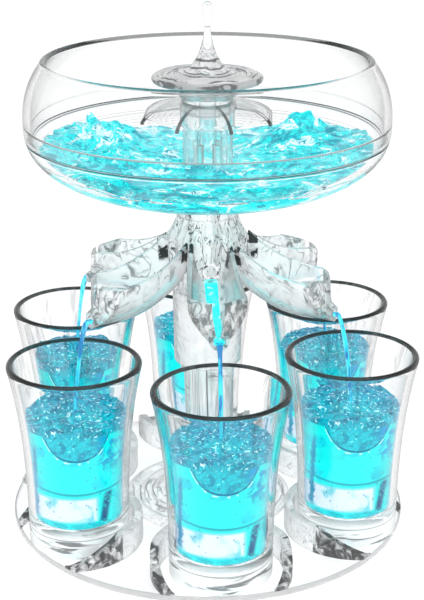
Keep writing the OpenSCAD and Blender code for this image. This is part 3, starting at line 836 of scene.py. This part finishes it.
def make_hub():
    """Sleeve, six flats and shoulder, with flutes like drips between the spouts."""
    hex_low = spout_root_z - 2
    side = [(hub_envelope(z), z) for z in steps_between(hex_low, hub_neck_z, 40)]
    outline = [
        (0, column_top), (column_r + glue_gap, column_top), (column_r + glue_gap, sleeve_end_z),
        (sleeve_r, sleeve_end_z), (sleeve_r + 0.4, hex_low - 2)] + side + [
        (hub_collar_r, hub_top_z - 5.6), (hub_collar_r, hub_top_z), (neck_r + glue_gap, hub_top_z),
        (neck_r + glue_gap, neck_end_z), (chamber_r, neck_end_z - 1.5), (chamber_r, chamber_z),
        (5.5, chamber_z), (1, chamber_z + 4), (0, chamber_z + 4)]
    bm = bmesh.new()
    turned(bm, softened(outline, 0.8), steps=240)
    for v in bm.verts:
        r = math.hypot(v.co.x, v.co.y)
        z = v.co.z
        if r < sleeve_r - 1.7 or z < hex_low - 1 or z > flutes_top_z:
            continue
        a = math.atan2(v.co.y, v.co.x)
        new_r = r
        if z < hub_flats_top:
            off_flat = (a - station_angle(1) + math.pi / 6) % (math.pi / 3) - math.pi / 6
            new_r = min(r, hub_flat_r / math.cos(off_flat))
        fade = min(1, (z - hex_low + 1) / 3) * min(1, (flutes_top_z - z) / 2)
        flutes = noise.noise(Vector((8 * math.cos(a), 8 * math.sin(a), 0.05 * z))) - 0.1
        new_r += flute_depth * fade * flutes
        v.co.x *= new_r / r
        v.co.y *= new_r / r
    piece("hub", bm, moulded, ["spout_hub"])


def share_of_spout(x):
    return progress(x, hub_flat_r, spout_reach)


def keel_z(x):
    """Height of the spout's keel at distance x from the axis."""
    left = max(0.0, 1 - (x - hub_flat_r) / (0.75 * (wall_x - hub_flat_r)))
    return spout_root_z - spout_fall + spout_fall * left ** 1.8


def edge_z(x):
    """Height of the spout's top edge at distance x from the axis."""
    left = max(0.0, 1 - (x - hub_flat_r) / (wall_x - hub_flat_r - 0.5))
    corner = min(1.0, max(0.0, (x - spout_reach + 3.5) / 3.5))
    return spout_root_z + spout_root_depth - spout_rim_fall * (1 - left ** 2.4) - 1.3 * corner ** 2


def half_w(x):
    """Half the spout's width at distance x from the axis."""
    return spout_root_w + (spout_end_w - spout_root_w) * math.sin(math.pi / 2 * share_of_spout(x))


def gutter_line(x, width, low, high, pinch, steps=11):
    """One line round the gutter, from the left edge under the keel to the right edge."""
    bow = progress(x, 30, 45) ** 2
    line = []
    for i in range(-steps, steps + 1):
        a = math.pi / 2 * i / steps
        y = math.copysign(width * abs(math.sin(a)) ** pinch, a) if i else 0.0
        z = low + (high - low) * (1 - math.cos(a)) ** 0.85
        line.append(Vector((x - spout_bow * bow * (y / spout_end_w) ** 2, y, z)))
    return line


def gutter_ring(x, width, low, high, inner_w, pinch):
    """The outer line and back along the inner one, with a bead along both top edges."""
    outer = gutter_line(x, width, low, high, pinch)
    inner = gutter_line(x, inner_w, low + spout_wall, high, pinch)[::-1]
    bead = Vector((0, 0, 0.25 * spout_wall))
    return outer + [(outer[-1] + inner[0]) / 2 + bead] + inner + [(inner[-1] + outer[0]) / 2 + bead]


def spout_rings():
    """Rings from the hub along the gutter and through its end wall, then along the pouring lip."""
    def gutter_at(x, inner_w):
        return gutter_ring(x, half_w(x), keel_z(x), edge_z(x), inner_w, 0.8 + 0.7 * share_of_spout(x))
    channel_w = lip_w - spout_wall
    lip_low = keel_z(spout_reach)
    rings = [gutter_at(x, half_w(x) - spout_wall) for x in steps_between(hub_flat_r, wall_x, 26)]
    end_wall = (wall_x + spout_wall, wall_x + 1.6 * spout_wall, spout_reach)
    rings += [gutter_at(x, channel_w) for x in end_wall]
    rings += [gutter_ring(x, lip_w, lip_low, lip_low + lip_h - 0.8 * (x - spout_reach), channel_w, 0.8)
              for x in steps_between(spout_reach + 0.4, spout_tip, 4)]
    return rings


def make_spout(k):
    bm = bmesh.new()
    lofted(bm, spout_rings())
    # A tongue that plugs into the hub
    block(bm, (hub_flat_r - 2, -3, spout_root_z + 1.2), (hub_flat_r + spout_wall, 3, spout_root_z + 3.2))
    # A round lip where the drink comes out of the hub
    port = Vector((hub_flat_r + 0.3, 0, chamber_z + 2.4))
    top = port + Vector((0, 0, port_r))
    lip = bmesh.ops.create_circle(
        bm, radius=port_lip, segments=10, matrix=Matrix.Translation(top))["verts"]
    rim = list({e for v in lip for e in v.link_edges})
    for axis in "XZ":
        bmesh.ops.rotate(bm, cent=top, matrix=Matrix.Rotation(math.pi / 2, 3, axis), verts=lip)
    bmesh.ops.spin(bm, geom=lip + rim, cent=port, axis=(1, 0, 0), dvec=(0, 0, 0), angle=2 * math.pi,
                   steps=32, use_merge=True, use_duplicate=False)
    swung(bm, station_angle(k))
    piece(f"gutter_{k}", bm, gutter, [f"spout_{k}"], sharp=50)


# ---- Bowl ----

def belly(radius, height, away):
    """Radius of the bowl's side at a distance from its widest place."""
    return radius * max(0.0, 1 - (away / height) ** bowl_square) ** (1 / bowl_square)


# How far over the widest place the upper curve would close, so that it meets the rim's radius
shoulder_b = (rim_z - belly_z) / (1 - (bowl_rim_r / bowl_r) ** bowl_square) ** (1 / bowl_square)


def bowl_outer(z):
    if z < belly_z:
        return belly(bowl_r, belly_z - bowl_z, belly_z - z)
    return belly(bowl_r, shoulder_b, z - belly_z)


def bowl_inner(z):
    if z < belly_z:
        return belly(bowl_r - bowl_wall, belly_z - bowl_floor_z, belly_z - z)
    return bowl_outer(z) - bowl_wall


def bowl_levels(low, high, count=44):
    """Levels that crowd together near the floor, where the bowl is flattest."""
    return [low + (high - low) * (i / count) ** 2.2 for i in range(1, count + 1)]


def make_bowl():
    """The lower shell with its neck and seat, and the upper one, which laps over it at the seam."""
    groove = 0.3
    tongue = bowl_wall / 2
    bm = bmesh.new()
    outer = [(bowl_outer(z), z) for z in bowl_levels(bowl_z, seam_z - groove)
             if bowl_outer(z) > bowl_seat_r + 1]
    inner = [(bowl_inner(z), z) for z in bowl_levels(bowl_floor_z, seam_top_z)
             if bowl_inner(z) > bowl_flat_r + 1]
    turned(bm, softened(
        [(neck_r, neck_end_z), (neck_r, bowl_z), (bowl_seat_r, bowl_z)] + outer
        + [(bowl_outer(seam_z) - groove, seam_z), (bowl_inner(seam_z) + tongue, seam_z),
           (bowl_inner(seam_top_z) + tongue, seam_top_z)] + inner[::-1]
        + [(bowl_flat_r, bowl_floor_z), (drain_r, bowl_floor_z), (drain_r, neck_end_z)], 0.25), steps=192)
    piece("bowl_lower_shell", bm, wet_shell, ["bowl_lower"])

    lip = bowl_wall / 2
    lip_z = rim_z - lip
    step = seam_top_z + glue_gap
    low = seam_z + 0.05
    bm = bmesh.new()
    turned(bm, softened(
        [(bowl_outer(seam_z) - groove, low)]
        + [(bowl_outer(z), z) for z in steps_between(low + groove, lip_z, 36)]
        + arc(bowl_outer(lip_z) - lip, lip_z, lip, 0, 180, 10)[1:]
        + [(bowl_outer(z) - bowl_wall, z) for z in steps_between(lip_z, step, 36)[1:]]
        + [(bowl_inner(step) + tongue + glue_gap, step),
           (bowl_inner(seam_z) + tongue + glue_gap, low)], 0.2), steps=192)
    piece("bowl_upper_shell", bm, shell, ["bowl_upper"])


# ---- Valve ----

def make_tube():
    """A tube with four tall windows, cut from a sheet that then gets its thickness."""
    levels = [bowl_floor_z, window_low_z, window_high_z, tube_top_z]
    bm = bmesh.new()
    turned(bm, [(tube_r, z) for z in levels], steps=160, sheet=True)
    half = math.asin(window_w / 2 / tube_r)
    holes = []
    for face in bm.faces:
        middle = face.calc_center_median()
        off = (math.atan2(middle.y, middle.x) + math.pi / 4) % (math.pi / 2) - math.pi / 4
        if abs(off) < half and window_low_z < middle.z < window_high_z:
            holes.append(face)
    bmesh.ops.delete(bm, geom=holes, context="FACES")
    bmesh.ops.recalc_face_normals(bm, faces=bm.faces)
    bmesh.ops.solidify(bm, geom=bm.faces[:], thickness=tube_r - tube_bore_r)
    piece("tube", bm, acrylic, ["valve_tube"])


def make_guard():
    """Eight arched panels over the tube's windows, with a crease where two panels meet."""
    peak_r = tube_r + 0.6
    height = guard_top_z - guard_edge_z
    half_panel = math.pi / guard_panels
    crease = 1 / math.cos(half_panel)
    bm = bmesh.new()
    line = [(tube_bore_r * crease, guard_top_z)]
    for z in reversed([height * math.sin(math.pi / 2 * i / 16) for i in range(17)]):
        r = peak_r + (guard_r - peak_r) * max(0.0, 1 - (z / height) ** 1.7) ** (1 / 1.7)
        line.append((r * crease, guard_edge_z + z))
    turned(bm, line, steps=guard_panels, sheet=True)
    swung(bm, guard_turn + half_panel)
    bmesh.ops.recalc_face_normals(bm, faces=bm.faces)
    if sum(f.normal.z for f in bm.faces) < 0:
        bmesh.ops.reverse_faces(bm, faces=bm.faces)
    bmesh.ops.solidify(bm, geom=bm.faces[:], thickness=guard_t)
    piece("guard", bm, umbrella, ["splash_guard"], sharp=30)


def make_collar():
    """A ring plugged into the tube, dished on top round a boss that guides the rod."""
    plug_r = tube_bore_r - glue_gap
    dish_r = collar_r - 2.2
    dish_z = collar_top_z - 2
    boss_r = rod_r + 2
    bore_r = rod_r + 0.06
    bm = bmesh.new()
    turned(bm, softened([
        (bore_r, collar_low_z), (plug_r, collar_low_z), (plug_r, guard_top_z), (tube_r - 0.9, guard_top_z),
        (collar_r, collar_top_z), (dish_r, collar_top_z), (dish_r - 1.6, dish_z), (boss_r, dish_z),
        (boss_r, collar_top_z), (bore_r, collar_top_z)], 0.3))
    piece("collar", bm, acrylic, ["guide_collar"])


def make_plunger():
    """The rod with its four fins, the stopper, and the ring that seals the bowl's neck."""
    bm = bmesh.new()
    foot_low = rod_low_z + 1.4
    fin_top = collar_low_z - 10.5
    turned(bm, softened([
        (0, rod_low_z), (1.8, rod_low_z), (1.8, foot_low), (fin_r, foot_low), (fin_r, foot_low + 1.6),
        (rod_r, foot_low + 1.6), (rod_r, rod_top_z), (0, rod_top_z)], 0.25), steps=64)
    for turn in (45, 135, 225, 315):
        fin = bmesh.new()
        block(fin, (rod_r - 0.1, -fin_t / 2, foot_low + 1.5), (fin_r, fin_t / 2, fin_top))
        swung(fin, math.radians(turn))
        part = bpy.data.meshes.new("fin")
        fin.to_mesh(part)
        fin.free()
        bm.from_mesh(part)
        bpy.data.meshes.remove(part)
    piece("rod", bm, acrylic, ["stopper_rod"], "plunger")

    bm = bmesh.new()
    nose_r = drain_r - 0.4
    turned(bm, softened([
        (0, stopper_low_z), (nose_r - 1.2, stopper_low_z), (nose_r, stopper_low_z + 1.4),
        (nose_r, bowl_floor_z), (stopper_r, bowl_floor_z), (stopper_r, stopper_top_z),
        (0, stopper_top_z)], 0.5), steps=64)
    piece("stopper", bm, silicone, ["stopper_seal"], "plunger")

    bm = bmesh.new()
    turned(bm, softened([
        (neck_r + glue_gap, hub_top_z), (hub_collar_r - 0.3, hub_top_z), (hub_collar_r - 0.3, bowl_z),
        (neck_r + glue_gap, bowl_z)], 0.2), steps=96)
    piece("neck_ring", bm, silicone, ["hub_seal"])


def knob_top(r):
    """Top of the knob at radius r: ripples on the disc, then a hollow cone."""
    t = progress(r, knob_r - knob_t / 2, knob_ripples_end_r)
    c = progress(r, knob_cone_r, knob_neck_r)
    top = cone_top_z - knob_z - knob_t
    ripple = 0.35 * (1 - math.cos(2 * math.pi * knob_ripples * t)) * (1 - 0.5 * t)
    return knob_z + knob_t + ripple + top * (0.25 * c + 0.75 * c ** 2.6)


def make_knob():
    edge = knob_r - knob_t / 2
    socket_r = rod_r + glue_gap
    bm = bmesh.new()
    top = [(r, knob_top(r)) for r in steps_between(edge, knob_neck_r, 110)]
    turned(bm, [(0, rod_top_z + 0.1), (socket_r, rod_top_z + 0.1), (socket_r, knob_z), (edge, knob_z)]
           + arc(edge, knob_z + knob_t / 2, knob_t / 2, -70, 70, 10) + top
           + [(1.6, cone_top_z), (1.6, cone_top_z - 4.1), (0, cone_top_z - 4.1)], steps=160)
    piece("knob", bm, rippled, ["ripple_knob"], "plunger")


def finial_radius(t):
    """Radius of the finial at a share of its height: a stem, a waist and a long drop."""
    waist_at, waist = 0.55, 0.62
    if t < waist_at:
        return knob_neck_r + (waist * drop_r - knob_neck_r) * math.sin(math.pi / 2 * t / waist_at)
    return drop_r * (waist + (1 - waist) * math.sin(math.pi / 2 * min(1.0, (t - waist_at) / 0.2)))


def make_finial():
    whole_h = finial_top_z - cone_top_z
    body_h = whole_h - drop_r
    side = [(finial_radius(t * body_h / whole_h), cone_top_z + 0.05 + body_h * t)
            for t in steps_between(0, 1, 40)]
    bm = bmesh.new()
    turned(bm, [(0, cone_top_z - 4), (1.5, cone_top_z - 4), (1.5, cone_top_z + 0.05)] + side
           + arc(0, cone_top_z + body_h, drop_r, 10, 80, 8) + [(0, finial_top_z)], steps=64)
    piece("finial", bm, acrylic, ["droplet_finial"], "plunger")


# ---- Glasses ----

def glass_outer(h):
    return glass_foot_r + (glass_rim_r - glass_foot_r) * (h / glass_h) ** glass_flare


def glass_inside(count=30):
    """Inner side of a glass from the rim down to the middle of its floor, above the foot."""
    corner = 2.5
    lip = glass_wall / 2
    floor_r = glass_outer(glass_floor) - glass_wall
    side = [(glass_outer(h) - glass_wall, h)
            for h in steps_between(glass_h - lip, glass_floor + corner, count)]
    return side + arc(floor_r - corner, glass_floor + corner, corner, 0, -90, 8)[1:] + [(0, glass_floor)]


def make_glass(k):
    lip = glass_wall / 2
    side = []
    for h in steps_between(glass_bead, glass_h - lip, 60):
        dip = 0.35 * math.exp(-((h - glass_groove_h) / 0.5) ** 2)
        side.append((glass_outer(h) - dip, h))
    outline = (
        [(0, 1.0), (glass_foot_r - 4, 0.6), (glass_foot_r - 3, 0)]
        + arc(glass_foot_r - glass_bead, glass_bead, glass_bead, -90, 0, 6) + side[1:]
        + arc(glass_outer(glass_h - lip) - lip, glass_h - lip, lip, 20, 160, 8) + glass_inside())
    bm = bmesh.new()
    turned(bm, [(r, tray_t + h) for r, h in outline], station_centre(k))
    piece(f"glass_{k}", bm, pressed, [f"shot_glass_{k}"], f"glass_{k}")


# ---- Drink ----

def swell(x, y, scale, seed):
    """Smooth humps and hollows, from about -1 to 1."""
    return noise.noise(Vector((x * scale, y * scale, seed)))


def crests(x, y, scale, seed):
    """Sharp crests: 1 along thin winding lines, and falling off on both sides."""
    return (1 - min(1.0, 2.2 * abs(swell(x, y, scale, seed)))) ** 2


def hump(x, y, place, width, sharp=2.0):
    """1 at a place and falling off round it."""
    return math.exp(-(math.hypot(x - place[0], y - place[1]) / width) ** sharp)


def bowl_drink_r(z):
    """Radius of the bowl's drink, which wets the wall."""
    return bowl_inner(max(z, bowl_floor_z + 0.01)) + drink_overlap


def bowl_wave(x, y):
    """How far the drink stands above its level: thrown up beside the guard and along the wall."""
    r = math.hypot(x, y)
    chop = 0.9 * swell(x, y, 0.11, 3.0) + 1.1 * crests(x, y, 0.075, 7.0)
    rough = 0.75 + 0.5 * swell(x, y, 0.3, 4.0)
    left = (5.5 * hump(x, y, (-34, 22), 14) + 4.0 * hump(x, y, (-36, 27), 4, 1.3)
            + 3.5 * hump(x, y, (-26, 27), 4, 1.3))
    right = 5.0 * hump(x, y, (33, 20), 13) + 8.5 * hump(x, y, (31, 23), 4.5, 1.2)
    side = 6.0 * min(1.0, abs(x) / 57) ** 2.5 + 1.5 * hump(x, y, (57, 8), 9)
    return chop + (left + right) * rough + side + 0.8 * min(1.0, r / 60) ** 8


def make_bowl_drink():
    """A ring of drink round the valve tube, whose top is thrown into waves."""
    inner_r = tube_r + drink_gap
    low_z = bowl_floor_z - drink_overlap
    wall = [(bowl_drink_r(z), z) for z in bowl_levels(low_z, bowl_drink_z, 40)
            if bowl_inner(z) > bowl_flat_r + 1]
    edge_r = wall[-1][0]
    surface = [(r, bowl_drink_z) for r in steps_between(edge_r, inner_r, 56)]
    bm = bmesh.new()
    turned(bm, [(inner_r, low_z)] + wall[:-1] + surface, steps=240)
    for v in bm.verts:
        if v.co.z > bowl_drink_z - 0.001:
            r = math.hypot(v.co.x, v.co.y)
            share = (r - inner_r) / (edge_r - inner_r)
            z = bowl_drink_z + bowl_wave(v.co.x, v.co.y)
            new_r = inner_r + share * (bowl_drink_r(z) - inner_r)
            v.co = Vector((v.co.x * new_r / r, v.co.y * new_r / r, z))
    piece("drink_in_bowl", bm, bowl_drink)


def cup_wave(x, y, k):
    """How far the drink in a glass stands above its level, at a place from the glass's middle."""
    r = math.hypot(x, y)
    spray = math.exp(-((r - 5.0) / 2.2) ** 2)
    return (0.8 * swell(x, y, 0.22, k * 9.1) + 1.2 * crests(x, y, 0.16, k * 5.3) * (1 - 0.02 * r)
            + 1.8 * spray * (0.6 + crests(x, y, 0.3, k * 2.7)) + 0.5 * max(0.0, (r - 17) / 3) ** 2)


def make_cup_drink(k):
    centre = station_centre(k)
    level = cup_drink_z - tray_t
    inside = [(r - drink_gap, h + drink_gap) for r, h in glass_inside(60)
              if h < level - 0.5 and r > drink_gap]
    edge_r = glass_outer(level) - glass_wall - drink_gap
    rings = 26
    surface = [(edge_r * i / rings, level) for i in range(rings, -1, -1)]
    outline = [(0, glass_floor + drink_gap)] + inside[::-1] + surface
    bm = bmesh.new()
    turned(bm, [(r, tray_t + h) for r, h in outline], centre, steps=120)
    for v in bm.verts:
        if v.co.z > cup_drink_z - 0.001:
            x, y = v.co.x - centre[0], v.co.y - centre[1]
            v.co.z += cup_wave(x, y, k)
    piece(f"drink_in_glass_{k}", bm, cup_drink_finish(k), body=f"glass_{k}")


def make_bubbles(k):
    """Small round bubbles of froth on the drink, two in three of them along the wall."""
    draw = random.Random(k)
    centre = station_centre(k)
    wall_r = glass_outer(cup_drink_z - tray_t) - glass_wall
    bm = bmesh.new()
    for i in range(bubble_count):
        size = draw.uniform(*bubble_sizes)
        r = (wall_r - size - 0.2) * (draw.uniform(0.90, 1.0) if i % 3 else draw.uniform(0.1, 0.9))
        a = draw.uniform(0, 2 * math.pi)
        x, y = r * math.cos(a), r * math.sin(a)
        z = cup_drink_z + cup_wave(x, y, k) + 0.3 * size
        bmesh.ops.create_icosphere(bm, subdivisions=2, radius=size,
                                   matrix=Matrix.Translation((centre[0] + x, centre[1] + y, z)))
    piece(f"bubbles_{k}", bm, bubbles, body=f"glass_{k}")


def make_channel_drink(k):
    """A ribbon of drink that runs along the keel of a spout to its lip."""
    def ring_at(x):
        low = keel_z(min(x, spout_reach)) + spout_wall + 0.12
        half = (2.3 if k == 1 else 1.2) - 0.5 * share_of_spout(x)
        ys = [half * math.sin(math.radians(a)) for a in range(-90, 91, 18)]
        return ([Vector((x, y, low + 0.26 * y * y)) for y in ys]
                + [Vector((x, y, low + 0.5 + 0.75 * half - 0.05 * y * y)) for y in ys[::-1]])

    bm = bmesh.new()
    lofted(bm, [ring_at(x) for x in steps_between(hub_flat_r + 0.4, spout_tip - 0.1, 40)])
    swung(bm, station_angle(k))
    piece(f"drink_in_spout_{k}", bm, channel_drink)


def make_stream(k):
    """The thin stream that falls from a spout's lip into its glass."""
    draw = random.Random(10 + k)
    sway = draw.uniform(-0.5, 0.5)
    top = keel_z(spout_reach) + spout_wall + 1.6
    fall = top - cup_drink_z + 0.3

    def ring_at(t):
        x = spout_tip + 0.15 + stream_throw * t
        y = sway * math.sin(6 * t) * t
        size = 1.05 - 0.5 * t + 0.12 * math.sin(9 * t + k)
        return [Vector((x + size * math.cos(a), y + size * math.sin(a), top - fall * t * t - 0.35 * t))
                for a in (2 * math.pi * i / 12 for i in range(12))]

    bm = bmesh.new()
    lofted(bm, [ring_at(t ** 0.8) for t in steps_between(0, 1, 40)])
    swung(bm, station_angle(k))
    piece(f"stream_{k}", bm, stream, body=f"glass_{k}")


# ---- Studio and camera ----

def make_floor():
    """A white floor a hair under the tray, which glows so that no shadow greys it."""
    bm = bmesh.new()
    bmesh.ops.create_circle(bm, cap_ends=True, radius=4.0, segments=96)
    bmesh.ops.translate(bm, vec=(0, 0, -0.3 * MM), verts=bm.verts)
    f = Finish("pale_floor")
    thing("floor", bm, f.done(f.add("BsdfPrincipled", None, {
        "Base Color": (*grey(0.12), 1), "Roughness": 1.0, "Specular IOR Level": 0.0,
        "Emission Color": (*grey(1), 1), "Emission Strength": 1.0})))


def make_studio():
    """A bright room at eye level and below, with a dimmer ceiling and one long soft light in it."""
    world = bpy.data.worlds.new("studio")
    bpy.context.scene.world = world
    f = Finish(world, "Generated")
    x, y, z = (f.place.part(name) for name in "XYZ")
    dim = f.between(z, 0.20, 0.70)
    sky = f.blend(dim, grey(1.25), (0.22, 0.22, 0.23))
    box = f.between(x * x, 0.10, 0.08) * f.between(y, -0.35, -0.32) * f.between(y, -0.02, -0.05)
    lit = f.blend(box * dim, sky, grey(4.0))
    f.add("OutputWorld", None, {"Surface": f.add("Background", None, {"Color": lit, "Strength": 1.0})})


def make_camera():
    """The photograph's camera: 48 cm in front of the column, 26 cm up and a little to the left,
    looking down by 20 degrees."""
    camera = bpy.data.cameras.new("camera")
    camera.sensor_width = 36
    camera.lens = 84.25
    camera.clip_start = 0.02
    holder = bpy.data.objects.new("camera", camera)
    holder.location = (-0.03813, -0.48323, 0.25766)
    down, aside = 19.83, 4.7
    holder.rotation_euler = (math.radians(90 - down), 0, math.radians(-aside))
    bpy.context.scene.collection.objects.link(holder)
    bpy.context.scene.camera = holder
    bpy.context.scene.view_settings.view_transform = "Standard"
    # Light has to pass through many clear walls
    bounces = bpy.context.scene.cycles
    bounces.max_bounces = bounces.transmission_bounces = bounces.transparent_max_bounces = 28


# ---- Finishes and pieces ----

shell = clear_finish("bowl_acrylic", 1.22, grey(0.05), 4.5, 0.8, shade_marks=bowl_marks, glow_marks=seam_highlight)
wet_shell = clear_finish("bowl_acrylic_below", 1.12, (0.04, 0.10, 0.11), 9.0, 0.6,
                         shade_marks=bowl_marks, glow_marks=seam_highlight)
plate = clear_finish("tray_acrylic", 1.12, grey(0.16), 5.0, 0.5, 40, 0.0002, 0.55, tray_marks)
umbrella = clear_finish("guard_acrylic", 1.2, grey(0.06), 4.0, 0.8, shade_marks=guard_marks)
acrylic = clear_finish("acrylic", 1.40, grey(0.06), 3.0, 0.85, 60, 0.0002, 0.10)
tube_wall = clear_finish("column_acrylic", 1.30, grey(0.03), 3.2, 0.85, 60, 0.0002, 0.30, column_marks)
rippled = clear_finish("rippled_acrylic", 1.35, grey(0.06), 3.0, 0.8, 120, 0.0003, 0.45, knob_marks)
moulded = clear_finish("acrylic_moulded", 1.35, grey(0.02), 2.2, 0.92, 190, 0.0008, 0.50, hub_marks)
gutter = clear_finish("spout_acrylic", 1.30, grey(0.015), 2.0, 0.95, 90, 0.0002, 0.38, gutter_marks)
ripple_plate = clear_finish("foot_acrylic", 1.25, grey(0.06), 2.6, 0.8, 80, 0.0004, 0.40, foot_marks)
pressed = clear_finish("pressed_glass", 1.35, grey(0.03), 4.0, 0.8, shade_marks=glass_marks, glow_marks=glass_foot_glow)
cuff = clear_finish("cradle_glass", 1.40, grey(0.03), 2.6, 0.85, 170, 0.0006, 0.35, cuff_marks)
silicone = silicone_finish()
bowl_drink = bowl_drink_finish()
stream = stream_finish()
channel_drink = channel_finish()
bubbles = bubble_finish()

make_tray()
make_foot()
make_column()
make_hub()
make_bowl()
make_tube()
make_guard()
make_collar()
make_plunger()
make_knob()
make_finial()
make_bowl_drink()
for k in STATIONS:
    make_cradle(k)
    make_spout(k)
    make_glass(k)
    make_cup_drink(k)
    make_bubbles(k)
    make_channel_drink(k)
    make_stream(k)
make_floor()
make_studio()
make_camera()

bpy.context.view_layer.update()
